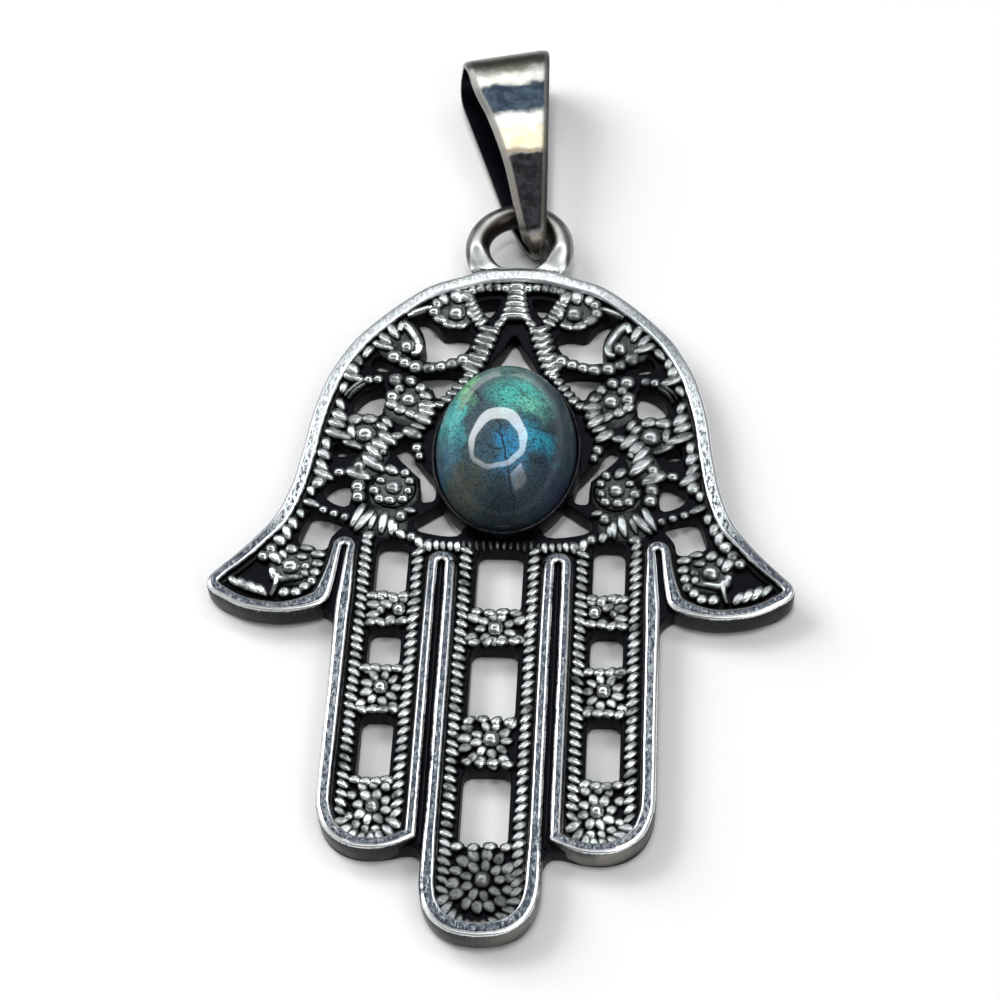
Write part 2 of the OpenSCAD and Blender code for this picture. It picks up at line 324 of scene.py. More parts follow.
def vectors(operation, *values, output=0):
    return add_node("VectorMath", dict(enumerate(values)), output, operation=operation)


def length_of(vector):
    return vectors("LENGTH", vector, output="Value")


def axes(place):
    """The x, y and z of a place."""
    x = add_node("SeparateXYZ", {0: place})
    return x, x.other(1), x.other(2)


def ramp(value, low, high, kind="SMOOTHSTEP"):
    """0 where value is low and 1 where it is high."""
    return add_node("MapRange", {0: value, 1: low, 2: high}, interpolation_type=kind)


def mix(share, a, b, blend="MIX"):
    """Colour a where share is 0, and colour b where it is 1."""
    return add_node("Mix", {0: share, 6: a, 7: b}, 2, data_type="RGBA", blend_type=blend)


def noise(place, scale, detail=2.0, roughness=0.5):
    return add_node("TexNoise", {"Vector": place, "Scale": scale, "Detail": detail, "Roughness": roughness})


def bump(height, strength, depth):
    """A surface that looks raised by up to depth in millimetres where height is high."""
    return add_node("Bump", {"Height": height, "Strength": strength, "Distance": depth * MM})


# %% New groups and materials
def new_group(name, inputs, outputs):
    """A node group and its inputs. A default is a number, a vector of three or a colour of four."""
    group = bpy.data.node_groups.new(name, "ShaderNodeTree")
    for label, default in inputs.items():
        kind = "Float" if isinstance(default, float) else "Vector" if len(default) == 3 else "Color"
        socket = group.interface.new_socket(name=label, in_out="INPUT", socket_type="NodeSocket" + kind)
        socket.default_value = default
    for label, kind in outputs.items():
        group.interface.new_socket(name=label, in_out="OUTPUT", socket_type="NodeSocket" + kind)
    return group, {s.name: Value(s) for s in group.nodes.new("NodeGroupInput").outputs}


def put_out(group, *values):
    """Links values to the outputs of a group, in their order."""
    for socket, value in zip(group.nodes.new("NodeGroupOutput").inputs, values):
        feed(socket, value)


def place_in(tree):
    """The place on the piece, whose object stands at the frame's origin."""
    return add_node("TexCoord", {}, "Object", tree)


def attribute(tree, name):
    """The value that the mesh's points carry under this name."""
    return add_node("Attribute", {}, "Fac", tree, attribute_name=name)


def new_material(name):
    material = bpy.data.materials.new(name)
    material.use_nodes = True
    return material, material.node_tree


def shade(material, inputs):
    """Gives the material's main shader its values, by the names of its inputs."""
    shader = material.node_tree.nodes["Principled BSDF"]
    for name, value in inputs.items():
        feed(shader.inputs[name], value)
    print("finish:", material.name, "with", len(material.node_tree.nodes), "nodes")
    return material


# %% [markdown]
# ## Silver that has been blackened and rubbed
#
# The whole casting is dipped in a blackening bath and then polished, so bare metal comes back
# wherever a cloth can reach: on tops and edges, never in recesses. Because the hand is flat, the
# height above the table says almost everything about that, so one node group turns height into
# wear, breaks it up with fine grain, and every silver finish uses it with its own heights. Two
# areas are rubbed less and stay darker: the end of the middle finger and the right half of the palm.

# %% The node group for rubbed black silver
BARE_METAL = (0.86, 0.87, 0.88, 1)


def build_patina_group():
    group, given = new_group(
        "rubbed_black_silver",
        {"Black below": 0.0009, "Bare above": 0.00115, "Shine": 1.0, "Grain": 0.3,
         "Metal": BARE_METAL, "Black": (0.008, 0.008, 0.01, 1)},
        {"Color": "Color", "Roughness": "Float", "Height": "Float"},
    )
    place = place_in(group)
    x, y, height = axes(place)
    fine = noise(place, 9000, 3.0, 0.65)
    broad = noise(place, 1500)
    finger_end = ramp(y, -17.6 * MM, -19.2 * MM) * 0.62
    right_palm = ramp(x, 1.0 * MM, 4.0 * MM) * ramp(y, -8.5 * MM, -5.0 * MM) * 0.3
    rub = ramp(height, given["Black below"], given["Bare above"])
    worn = rub * given["Shine"] * ramp(broad, 0.2, 0.56) * (1.0 - finger_end) * (1.0 - right_palm)
    grainy = (fine - 0.5) * given["Grain"]
    worn = (worn + grainy * (rub + 0.08)).clamped()
    put_out(group, mix(worn, given["Black"], given["Metal"]), 0.5 - worn * 0.23, fine)
    return group


patina = build_patina_group()
print("group:", patina.name, "with", len(patina.nodes), "nodes")


# %% Silver finishes
def silver(name, black_below, bare_above, shine, grain, bumps=0.15, metal=BARE_METAL):
    """A silver finish that is black below one height in millimetres and bare above another."""
    material, tree = new_material(name)
    heights = {"Black below": black_below * MM, "Bare above": bare_above * MM}
    inputs = {**heights, "Shine": shine, "Grain": grain, "Metal": metal}
    colour = add_node("Group", inputs, "Color", tree, node_tree=patina)
    surface = bump(colour.other("Height"), bumps, 0.02)
    return shade(material, {
        "Base Color": colour, "Roughness": colour.other("Roughness"), "Metallic": 1.0, "Normal": surface
    })


bed_silver = silver("black_ground", 0.93, 1.6, 0.5, 0.07)
relief_silver = silver("rubbed_relief", 1.045, 1.2, 1.05, 0.45, 0.05, (0.52, 0.55, 0.54))
bead_silver = silver("rubbed_beads", 1.03, 1.19, 1.05, 0.4, 0.05, (0.59, 0.61, 0.60))
cushion_silver = silver("worn_cushions", 0.86, 1.08, 0.3, 0.5, 0.2, (0.32, 0.35, 0.33))
print("finishes:", [m.name for m in (bed_silver, relief_silver, bead_silver, cushion_silver)])

# %% [markdown]
# ## The pierced ground
#
# The sunk ground is a plate of 0.9 mm with thirty-two openings. A flat filled curve is the tool for
# that: its outer line and the lines of the openings are drawn as separate loops, the fill leaves
# the openings out, and its bevel softens every edge at once, as casting and tumbling do.

# %% Outline and openings
outline_half = [
    (0, 16.9), (1.3, 16.8), (2.6, 16.4), (3.8, 15.85), (5.0, 14.9), (6.0, 13.9), (6.8, 12.9), (7.35, 11.9),
    (7.8, 10.9), (8.08, 9.9), (8.3, 8.9), (8.45, 7.9), (8.58, 6.6), (8.78, 5.4), (9.0, 4.6), (9.3, 3.7),
    (9.75, 2.9), (10.3, 2.15), (10.95, 1.4), (11.45, 0.85), (11.85, 0.2), (11.4, -0.4), (10.7, -0.75),
    (10, -0.95), (9, -1.05), (8, -0.92), (7.5, -0.75), (7.05, -0.75), (6.62, -1.15), (6.45, -2.0),
    (6.5, -4), (6.5, -6.5), (6.5, -9.2), (6.42, -10.1), (6.1, -10.85), (5.6, -11.35), (4.95, -11.62),
    (4.3, -11.68), (3.6, -11.6), (3.0, -11.45), (2.55, -11.5), (2.3, -11.9), (2.25, -12.6), (2.2, -13.4),
    (2.0, -14.1), (1.55, -14.7), (0.9, -15.0), (0, -15.1)
]
outline = smooth(outline_half, 4)
outline += mirrored(outline[1:-1])

palm_openings = [
    [(0.75, 15.5), (1.6, 15.38), (1.52, 14.95), (1.18, 14.5), (0.9, 14.88)],
    [(1.85, 13.5), (2.4, 13.72), (3.12, 13.68), (3.6, 14.3), (4.08, 14.6), (4.42, 14.36), (4.0, 13.5),
     (3.85, 12.75), (4.05, 12.15), (3.6, 11.98), (2.88, 12.02), (2.22, 12.41), (1.92, 12.92)],
    [(5.15, 11.7), (5.45, 12.1), (5.9, 12.25), (6.1, 11.9), (6.0, 11.55), (5.4, 11.42)],
    [(2.04, 11.39), (2.28, 11.53), (3.0, 11.63), (4.14, 11.46), (3.78, 10.8), (3.12, 10.0), (2.28, 10.54)],
    [(5.45, 10.5), (6.1, 10.45), (6.6, 9.9), (6.7, 9.35), (6.45, 9.1), (5.5, 9.1)],
    [(4.5, 9.02), (4.85, 9.0), (4.98, 8.7), (4.6, 8.55)],
    [(6.65, 7.3), (7.05, 7.6), (7.35, 7.4), (7.3, 6.95), (6.8, 6.85)],
    [(4.85, 7.35), (4.42, 7.72), (4.05, 7.45), (3.85, 6.95), (3.4, 6.3), (2.98, 5.7), (2.88, 5.0),
     (2.98, 4.62), (3.46, 4.6), (3.52, 5.2), (3.66, 5.7), (4.02, 6.2), (4.5, 6.71)],
    [(6.5, 5.7), (7.15, 5.68), (7.62, 5.08), (7.25, 4.5), (6.5, 4.35)],
    [(6.54, 3.49), (6.84, 3.84), (7.92, 4.08), (8.22, 3.57), (8.42, 2.55), (7.98, 2.21), (7.26, 2.11),
     (7.06, 2.72)],
    [(1.86, 2.89), (3.36, 3.06), (3.72, 3.57), (3.24, 4.01), (2.28, 4.59), (1.68, 3.74)]
]
strap_opening = [
    (0, 13.5), (0.45, 12.7), (0.95, 11.8), (1.1, 10.54), (-1.1, 10.54), (-0.95, 11.8), (-0.45, 12.7)
]


def finger_opening(x, half, top, bottom, corner=0.36):
    """A window in a finger, with rounded corners."""
    low, high = bottom + corner, top - corner
    left, right = x - half + corner, x + half - corner
    out = []
    for k, (cx, cy) in enumerate(((right, high), (left, high), (left, low), (right, low))):
        out += arc(cx, cy, corner, 90 * k, 90 * k + 90, 4)
    return out


openings = [smooth(strap_opening, 3, closed=True)]
for gap in palm_openings:
    soft = smooth(gap, 4, closed=True)
    openings += [soft, mirrored(soft)]
for top, bottom in ((2.27, -0.85), (-2.46, -5.83), (-8.01, -11.36)):
    openings.append(finger_opening(MIDDLE_FINGER_X, 0.95, top, bottom))
for side in (-1, 1):
    for top, bottom in ((2.6, -0.1), (-1.6, -3.5), (-5.66, -8.6)):
        openings.append(finger_opening(side * OUTER_FINGER_X, 0.66, top, bottom))
print(len(openings), "openings")


# %% Fill the plate and soften its edges
def turned(loop, clockwise):
    """The loop walked the way round that is asked for."""
    area = sum(a[0] * b[1] - b[0] * a[1] for a, b in zip(loop, loop[1:] + loop[:1]))
    return loop if (area < 0) == clockwise else loop[::-1]


def filled_plate(outer, inner, low, high, edge):
    """A plate between two heights with holes in it, its edges rounded by the radius edge."""
    curve = bpy.data.curves.new("plate", "CURVE")
    curve.dimensions = "2D"
    curve.fill_mode = "BOTH"
    curve.extrude = ((high - low) / 2 - edge) * MM
    curve.bevel_depth = edge * MM
    curve.bevel_resolution = 2
    curve.offset = -edge * MM
    for loop in [turned(outer, True)] + [turned(hole, False) for hole in inner]:
        spline = curve.splines.new("POLY")
        spline.points.add(len(loop) - 1)
        for point, (x, y) in zip(spline.points, loop):
            point.co = (x * MM, along_hand(y), 0, 1)
        spline.use_cyclic_u = True
    obj = in_scene("plate", curve)
    obj.location.z = (low + high) / 2 * MM
    only(obj)
    bpy.ops.object.convert(target="MESH")
    tidy_mesh(bpy.context.object)
    return bpy.context.object


ground = filled_plate(outline, openings, low=0.01, high=BED_TOP, edge=0.07)
finish_piece(ground, "pierced_ground", bed_silver, stands_for=("hand_casting",))

# %% [markdown]
# ## The rim and the rails
#
# One raised band runs round the whole hand: over the arch of the palm, round the thumb, up and over
# the tight hairpin beside the finger, down and round the finger's end, up to the next hairpin, and
# so on. It is a section drawn once and swept along that path. The path's points carry the band's
# width, which is greatest under the ring. An attribute called edge is 1 on the band's two edges and
# 0 in its middle, where the metal stays toned.

# %% The band's path: x, y, width
band_half = [
    (0, 16.69, 0.76), (1.29, 16.57, 0.76), (2.48, 16.17, 0.7), (3.69, 15.7, 0.65), (4.87, 14.76, 0.62),
    (5.83, 13.79, 0.6), (6.63, 12.83, 0.6), (7.16, 11.88, 0.6), (7.59, 10.91, 0.62), (7.86, 9.94, 0.63),
    (8.08, 8.97, 0.63), (8.21, 8.14, 0.62), (8.31, 7.19, 0.62), (8.43, 6.39, 0.62), (8.55, 5.54, 0.62),
    (8.74, 4.69, 0.63), (8.99, 3.88, 0.63), (9.31, 3.18, 0.62), (9.78, 2.54, 0.56), (10.28, 1.89, 0.54),
    (10.84, 1.26, 0.52), (11.3, 0.8, 0.47), (11.66, 0.34, 0.5), (11.55, -0.02, 0.52), (11.1, -0.34, 0.5),
    (10.6, -0.62, 0.49), (10, -0.83, 0.49), (9, -0.96, 0.47), (8.3, -0.88, 0.52), (7.68, -0.69, 0.62),
    (7.2, -0.4, 0.68), (7.02, 0.15, 0.6), (6.89, 0.8, 0.5), (6.79, 1.5, 0.42), (6.72, 2.05, 0.38)
]
outer_rail = [
    (6.18, 1.4, 0.44), (6.21, 0.2, 0.56), (6.25, -0.8, 0.62), (6.26, -1.8, 0.6), (6.25, -4, 0.57),
    (6.25, -6.5, 0.57), (6.25, -9.3, 0.56), (6.15, -10.05, 0.55), (5.9, -10.7, 0.54), (5.48, -11.13, 0.52),
    (4.95, -11.4, 0.49), (4.4, -11.48, 0.48), (3.85, -11.45, 0.47), (3.3, -11.28, 0.46)
]
inner_rail = [
    (2.75, -11.02, 0.46), (2.74, -10.2, 0.46), (2.74, -6, 0.46), (2.74, -2, 0.45), (2.73, 1.0, 0.43)
]
middle_rail = [
    (2.03, 1.0, 0.45), (2.01, -2, 0.48), (2.01, -6, 0.49), (2.01, -10, 0.49), (2.02, -11.2, 0.52),
    (2.01, -12.2, 0.58), (1.99, -13.1, 0.6), (1.84, -13.85, 0.6), (1.47, -14.44, 0.6), (0.84, -14.82, 0.6),
    (0, -14.94, 0.6)
]


def hairpin(x, y, radius, start, width):
    """The band's turn over a groove, from start degrees to as far from the other side."""
    return [(px, py, width) for px, py in arc(x, y, radius, start, 180 - start, 10)]


band = smooth(band_half, 4) + hairpin(OUTER_GROOVE_X, 2.05, 0.29, 12, 0.38)
band += smooth([(6.14, 2.05, 0.38)] + outer_rail, 4) + smooth(inner_rail, 4)
band += hairpin(INNER_GROOVE_X, 1.34, 0.345, 8, 0.42) + smooth([(2.04, 1.34, 0.42)] + middle_rail, 4)
band += mirrored(band[1:-1])
print("the band runs through", len(band), "points")


# %% Sweep a section along a path
def left_normals(path, closed):
    """The direction to the left of each point of a path, lengthened at corners by a third at most."""
    n = len(path)
    out = []
    for i in range(n):
        before = path[i - 1] if (closed or i) else path[i]
        after = path[(i + 1) % n] if (closed or i < n - 1) else path[i]
        sides = [(p, q) for p, q in ((before, path[i]), (path[i], after)) if math.dist(p[:2], q[:2]) > 1e-6]
        normals = [Vector((p[1] - q[1], q[0] - p[0])).normalized() for p, q in sides]
        mean = sum(normals, Vector((0, 0))).normalized()
        out.append(mean / max(mean.dot(normals[0]), 0.75))
    return out


def tube_faces(n, m, closed):
    """The faces between n sections of m corners each."""
    faces = []
    for i in range(n if closed else n - 1):
        here, there = i * m, (i + 1) % n * m
        faces += [(here + k, there + k, there + (k + 1) % m, here + (k + 1) % m) for k in range(m)]
    if not closed:
        faces += [tuple(range(m)), tuple(range((n - 1) * m, n * m))[::-1]]
    return faces


def swept(path, section, closed=False):
    """Sweeps section along path. Each corner of it is (share of half width, offset, height, edge)."""
    points = []
    for (x, y, w), normal in zip(path, left_normals(path, closed)):
        for share, offset, z, _ in section:
            side = share * w / 2 + offset
            points.append((x + normal.x * side, y + normal.y * side, z))
    faces = tube_faces(len(path), len(section), closed)
    obj = new_mesh(points, faces, edge=[corner[3] for corner in section] * len(path))
    tidy_mesh(obj)
    return obj


band_section = [
    (1, -0.32, 0.0, 0), (1, -0.12, 0.05, 0), (1, -0.03, 0.18, 0), (1, 0, 0.36, 0), (1, 0.01, 0.75, 0),
    (1, 0, 1.12, 0.1), (1, -0.02, 1.2, 0.8), (1, -0.05, 1.25, 1), (1, -0.1, 1.28, 1),
    (1, -0.17, 1.295, 0.85), (0.3, 0, 1.3, 0.0), (0, 0, 1.302, 0.0), (-0.5, 0, 1.3, 0.0),
    (-1, 0.1, 1.296, 0.85), (-1, 0.05, 1.272, 1), (-1, 0.01, 1.2, 0.7), (-1, 0, 1.1, 0),
    (-1, -0.01, 0.98, 0), (-1, -0.06, 0.97, 0), (-1, -0.09, 1.03, 0.25), (-1, -0.13, 1.05, 0.3),
    (-1, -0.17, 1.03, 0.25), (-1, -0.2, 0.96, 0), (-1, -0.21, 0.8, 0), (-1, -0.1, 0.0, 0)
]
rim = swept(band, band_section, closed=True)
print("swept into", len(rim.data.polygons), "faces")

# %% [markdown]
# ### The finish of the rails
#
# Rubbing brightens the two edges of a rail most. Where an edge faces the groove between two fingers,
# painted shade dims it. Between the edges the silver keeps a blue-grey tone, mottled with small dark
# pits, and paler on the arch and beside the thumbs. The outer walls were hardly rubbed and stay black,
# apart from the lower right ends, where painted light makes them warm grey.

# %% Finish of the rim and the rails
def rail_material():
    material, tree = new_material("worn_rail_with_painted_light")
    place = place_in(tree)
    x, y, height = axes(place)
    from_middle = maths("ABSOLUTE", x)
    edge = attribute(tree, "edge")
    along = vectors("MULTIPLY", place, (1, 0.45, 1))
    fine = noise(along, 11000, 4.0, 0.7)
    pits = noise(along, 8500, 3.0, 0.7)
    broad = noise(place, 700)

    palm = ramp(y, -3 * MM, 8 * MM)
    under_ring = ramp(y, 6 * MM, 9.5 * MM)
    left_arch = ramp(x, -3 * MM, -7 * MM) * palm
    right_arch = ramp(x, 2 * MM, 7 * MM) * palm
    outer_ends = ramp(from_middle, 4 * MM, 5.5 * MM) * ramp(y, -7 * MM, -9 * MM)
    thumbs = ramp(from_middle, 6.2 * MM, 7.4 * MM) * (ramp(y, -4.5 * MM, -2.5 * MM) * ramp(y, 6 * MM, 3 * MM))
    mottling = ramp(fine, 0.45, 0.72)
    pitting = ramp(pits, 0.45, 0.58) * (1.0 - palm * 0.55)
    middle = (0.066, 0.077, 0.088)
    for share, tone in (
        (palm, (0.18, 0.20, 0.21)), (under_ring, (0.66, 0.69, 0.68)), (left_arch, (0.52, 0.55, 0.54)),
        (right_arch, (0.22, 0.24, 0.25)), (outer_ends, (0.125, 0.137, 0.146)), (thumbs, (0.52, 0.55, 0.54)),
        (mottling, (0.36, 0.38, 0.39)), (pitting, (0.025, 0.03, 0.042))
    ):
        middle = mix(share, middle, tone)

    # Painted shade: edges facing the groove between two fingers are dimmed.
    groove_shade = ramp(from_middle, 2.05 * MM, 2.2 * MM) * ramp(from_middle, 2.7 * MM, 2.55 * MM)
    groove_shade = groove_shade * ramp(y, -5.5 * MM, -7 * MM)
    rub = edge + (fine - 0.5) + (broad - 0.5) * 0.7 - groove_shade * 0.3
    top = mix(ramp(rub, 0.5, 0.85), middle, (0.93, 0.94, 0.94))
    # Painted light: warm grey on the walls of the fingers' lower right ends.
    lit_end_walls = ramp(y, -16.5 * MM, -18.5 * MM) * ramp(x, -1 * MM, 2 * MM) * ramp(broad, 0.3, 0.7)
    walls = mix(ramp(fine, 0.4, 0.75), (0.012, 0.012, 0.013), (0.05, 0.05, 0.052))
    walls = mix(lit_end_walls, walls, (0.24, 0.225, 0.20))
    near_top = ramp(height + fine * (0.2 * MM), 1.18 * MM, 1.3 * MM)
    return shade(material, {
        "Base Color": mix(near_top, walls, top), "Roughness": 0.36 - edge * 0.06, "Metallic": 1.0,
        "Normal": bump(fine, 0.2, 0.02)
    })


finish_piece(rim, "rim_and_rails", rail_material(), angle=35)

# %% Thin ridges in the grooves
ridge_section = [
    (1, 0, 0.7, 0), (0.9, 0, 0.98, 0), (0.4, 0, 1.06, 0.3), (-0.4, 0, 1.06, 0.3), (-0.9, 0, 0.98, 0),
    (-1, 0, 0.7, 0)
]
RIDGE_WIDTH = 0.09
GROOVES = {"inner": (INNER_GROOVE_X, 1.45, -11.4), "outer": (OUTER_GROOVE_X, 2.1, -1.0)}
for side, label in ((-1, "left"), (1, "right")):
    for part, (x, top, bottom) in GROOVES.items():
        path = [(side * x, y, RIDGE_WIDTH) for y in (top, (top + bottom) / 2, bottom)]
        finish_piece(swept(path, ridge_section), f"groove_ridge_{part}_{label}", relief_silver)

# %% [markdown]
# ## One lobe, stamped hundreds of times
#
# The relief is made of small raised lobes: slanting ones side by side make a twisted rope, round
# ones make a string of beads, and lobes in a ring make a flower. A wax carver presses each with the
# same few tools. So two stamps are modelled, a comma and a bead, and every lobe is a copy with its
# own length, width, height and turn.

# %% The comma stamp and the bead stamp
STEEP = 0.45            # power that makes the sides of the ball steeper, where 1 would leave them
BLUNT = 3               # power that fills its corners, where 2 would leave it round
DIMPLE_RADIUS = 0.6


def half_ball(dimple):
    """The upper half of a ball with steep sides, blunt corners and a dimple of this depth on top."""
    start_clean()
    bpy.ops.mesh.primitive_uv_sphere_add(segments=12, ring_count=8, radius=1)
    obj = bpy.context.object
    with editing(obj):
        bpy.ops.mesh.bisect(plane_co=(0, 0, 0), plane_no=(0, 0, 1), clear_inner=True, use_fill=True)
    for v in obj.data.vertices:
        away = math.hypot(v.co.x, v.co.y)
        v.co.z = max(v.co.z, 0) ** STEEP - dimple * max(0, 1 - away / DIMPLE_RADIUS)
        if away > 0.001:
            fuller = (abs(v.co.x / away) ** BLUNT + abs(v.co.y / away) ** BLUNT) ** (-1 / BLUNT)
            v.co.x, v.co.y = v.co.x * fuller, v.co.y * fuller
    return obj


TAIL_BEND = 0.1
comma = half_ball(0.17)
for beyond, narrower, lower in ((0.3, 0.84, 0.92), (0.75, 0.8, 0.8)):
    with editing(comma, lambda co: co.x > beyond):
        bpy.ops.transform.resize(value=(1.0, narrower, lower))
        bpy.ops.transform.translate(value=(0, TAIL_BEND, 0))

STAMPS = {}
for label, obj in (("comma", comma), ("bead", half_ball(0.0))):
    STAMPS[label] = [tuple(v.co) for v in obj.data.vertices], [tuple(p.vertices) for p in obj.data.polygons]
    bpy.data.objects.remove(obj)
print("stamp faces:", {label: len(faces) for label, (_, faces) in STAMPS.items()})


# %% Stamp copies
LOBE_FOOT = 0.86        # height at which lobes stand, just inside the ground
LOBE_SPREAD = (0.53, 0.56)  # half length and half width of a lobe's foot, as shares of the bright top
PETAL_HEIGHT = 0.3


def vary(size, share):
    """A size changed at random by up to this share of it."""
    return size * (1 + wobble(share))


def stamped(marks):
    """One mesh of many stamped lobes. A mark is (stamp, x, y, length, width, height, turn in degrees).

    A comma is a little higher on one long side, as if pressed aslant."""
    points, faces = [], []
    for kind, x, y, length, width, height, angle in marks:
        shape, sides = STAMPS[kind]
        c, s = math.cos(math.radians(angle)), math.sin(math.radians(angle))
        first = len(points)
        slope = 0.1 * math.copysign(1, c) if kind == "comma" else 0
        for px, py, pz in shape:
            u, v = px * length * LOBE_SPREAD[0], py * width * LOBE_SPREAD[1]
            points.append((x + u * c - v * s, y + u * s + v * c, LOBE_FOOT + pz * height * (1 - slope * py)))
        faces += [tuple(first + k for k in side) for side in sides]
    return new_mesh(points, faces)


def both_hands(marks):
    """The marks and their mirror images on the other half of the hand."""
    return marks + [(kind, -x, *rest, 180 - angle) for kind, x, *rest, angle in marks]


def rope(path, step, length, width, height, lean):
    """Lobes side by side along a path, each leaning from its direction."""
    return [("comma", x + wobble(0.015), y + wobble(0.015), vary(length, 0.08), vary(width, 0.1),
             height + wobble(0.02), heading + lean + wobble(5)) for x, y, heading in evenly(path, step)]


def string_of_beads(path, step, size, height):
    """Round lobes one after another along a path."""
    return [("bead", x, y, vary(size, 0.1), vary(size, 0.1), height + wobble(0.03), heading)
            for x, y, heading in evenly(path, step)]


def ring_of_lobes(x, y, radius, count, length, width, first, keep):
    """Lobes pointing outwards on a ring, left out where keep says no."""
    marks = []
    for k in range(count):
        angle = first + 360 * k / count + wobble(4)
        px = x + (radius + wobble(0.03)) * math.cos(math.radians(angle))
        py = y + (radius + wobble(0.03)) * math.sin(math.radians(angle))
        if keep(px, py):
            sizes = vary(length, 0.12), vary(width, 0.12), PETAL_HEIGHT + wobble(0.03)
            marks.append(("comma", px, py, *sizes, angle))
    return marks


print("a bead and its mirror image:", both_hands([("bead", 2.0, 5.0, 0.6, 0.6, 0.5, 0)]))

# %% [markdown]
# ## Ropes down the fingers
#
# Each finger has a rope inside its rails. Its lobes lean outwards and up on both sides, and fan out
# round the finger's end.

# %% Finger ropes
SIDE_STEP, END_STEP = 0.395, 0.37
LEFT_LEAN, RIGHT_LEAN, END_LEAN = 327, 216, 12
SIDE_LOBE, END_LOBE = (0.64, 0.33, 0.36), (0.76, 0.4, 0.34)     # length, width, height


def finger_rope(x, half, top_left, top_right, end_y):
    """Lobes down both sides of a finger, half from its middle, and round its end."""
    marks = []
    length, width, height = SIDE_LOBE
    for side, top, lean in ((-1, top_left, LEFT_LEAN), (1, top_right, RIGHT_LEAN)):
        for px, py, _ in evenly([(x + side * half, top), (x + side * half, end_y)], SIDE_STEP):
            marks.append(("comma", px + wobble(0.015), py + wobble(0.01), vary(length, 0.07),
                          vary(width, 0.1), height + wobble(0.03), lean + wobble(7)))
    length, width, height = END_LOBE
    count = round(math.pi * half / END_STEP)
    for angle in [180 + 180 * k / count for k in range(1, count)]:
        px = x + half * math.cos(math.radians(angle))
        py = end_y + 1.08 * half * math.sin(math.radians(angle))
        marks.append(("comma", px, py, vary(length, 0.08), vary(width, 0.08), height + wobble(0.02),
                      angle + 180 + END_LEAN + wobble(5)))
    return marks


middle_ropes = finger_rope(MIDDLE_FINGER_X, 1.38, 2.0, 2.0, -13.3)
outer_ropes = both_hands(finger_rope(OUTER_FINGER_X, 1.07, 1.9, 2.35, -10.1))
finish_piece(stamped(middle_ropes + outer_ropes), "finger_ropes", relief_silver, angle=60)


# %% Flowers between the openings of the fingers
CLEAR_OF_BEAD, CLEAR_OF_OPENING = 0.14, 0.1
BAR_LOBES, BAR_STEP = 4, 0.52       # the step is a share of the flower's half width
BAR_BELOW, BAR_ABOVE = 0.12, 0.13   # distance of a bar from the opening above and below it


def finger_flower(x, half, top, bottom, beads, rings, end=False):
    """Beads, rings of lobes round the first bead, and a bar of lobes along each opening's edge."""
    def clear(px, py):
        away = all(math.dist((px, py), (bx, by)) > size / 2 + CLEAR_OF_BEAD for bx, by, size in beads)
        return away and abs(px - x) < half and bottom + CLEAR_OF_OPENING < py < top - CLEAR_OF_OPENING

    marks = [("bead", bx, by, size, size, 0.28 + size * 0.38, 0) for bx, by, size in beads]
    for radius, count, length, width in rings:
        marks += ring_of_lobes(*beads[0][:2], radius, count, length, width, dice.uniform(0, 40), clear)
    for edge_y in [top - BAR_BELOW] if end else [top - BAR_BELOW, bottom + BAR_ABOVE]:
        for k in range(BAR_LOBES):
            px = x + (k - (BAR_LOBES - 1) / 2) * half * BAR_STEP
            py = edge_y + wobble(0.05)
            marks.append(("comma", px, py, 0.56 + wobble(0.06), 0.38, 0.36, 10 + wobble(25)))
    return marks


petals = [(0.62, 9, 0.56, 0.4), (1.08, 14, 0.62, 0.44)]
middle_end_petals = [(0.66, 9, 0.6, 0.44), (1.12, 14, 0.66, 0.5)]
outer_end_petals = [(0.58, 8, 0.54, 0.42), (0.98, 13, 0.46, 0.4)]
middle_flowers = (
    finger_flower(MIDDLE_FINGER_X, 1.02, -0.85, -2.46, [(0, -1.72, 0.6)], petals)
    + finger_flower(MIDDLE_FINGER_X, 1.02, -5.83, -8.01, [(0.1, -6.8, 0.62)], petals)
    + finger_flower(MIDDLE_FINGER_X, 1.2, -11.36, -14.2, [(0.1, -12.85, 0.6)], middle_end_petals, end=True)
)
outer_flowers = (
    finger_flower(OUTER_FINGER_X, 0.8, -0.1, -1.6, [(3.95, -0.9, 0.52), (4.7, -0.95, 0.36)], petals)
    + finger_flower(OUTER_FINGER_X, 0.8, -3.5, -5.66, [(4.4, -4.55, 0.56)], petals)
    + finger_flower(OUTER_FINGER_X, 0.8, -8.6, -11.0, [(4.3, -9.85, 0.54)], outer_end_petals, end=True)
)
finish_piece(stamped(middle_flowers + both_hands(outer_flowers)), "finger_flowers", bead_silver, angle=60)

# %% [markdown]
# ## The relief of the palm
#
# The palm carries flowers and leaves between strings of beads and twisted straps. A bead is given by
# its middle, length and width, and a leaf by where its head and its tail lie and by its width. All
# are measured on one half of the hand, and the other half mirrors them. Low cushions under the
# flowers, and a hoop round the heart of two of them, tie the lobes together.

# %% Straps and strings of one half: points, step, length, width, height, lean
palm = string_of_beads(smooth([(0.5, 16.0), (1.3, 16.0), (1.95, 15.8)], 4), 0.34, 0.42, 0.36)
for points, *look in (
    ([(2.0, 15.1), (1.8, 14.6), (1.5, 14.05)], 0.32, 0.7, 0.36, 0.38, 80),
    ([(0.5, 14.3), (0.72, 13.95), (0.85, 13.6)], 0.32, 0.56, 0.36, 0.36, 20),
    ([(1.12, 13.6), (1.24, 13.05), (1.42, 12.45), (1.58, 11.85), (1.8, 11.4)], 0.42, 1.0, 0.42, 0.43, 98),
    ([(1.85, 11.1), (2.15, 10.6), (2.55, 10.0), (3.0, 9.5)], 0.38, 0.56, 0.38, 0.38, 75)
):
    palm += rope(smooth(points, 4), *look)
palm += string_of_beads([(6.55, 3.6), (6.75, 3.68), (7.08, 3.8), (7.48, 3.96)], 0.4, 0.38, 0.34)
FIRST_BAR, BAR_DISTANCE = 16.05, 0.33
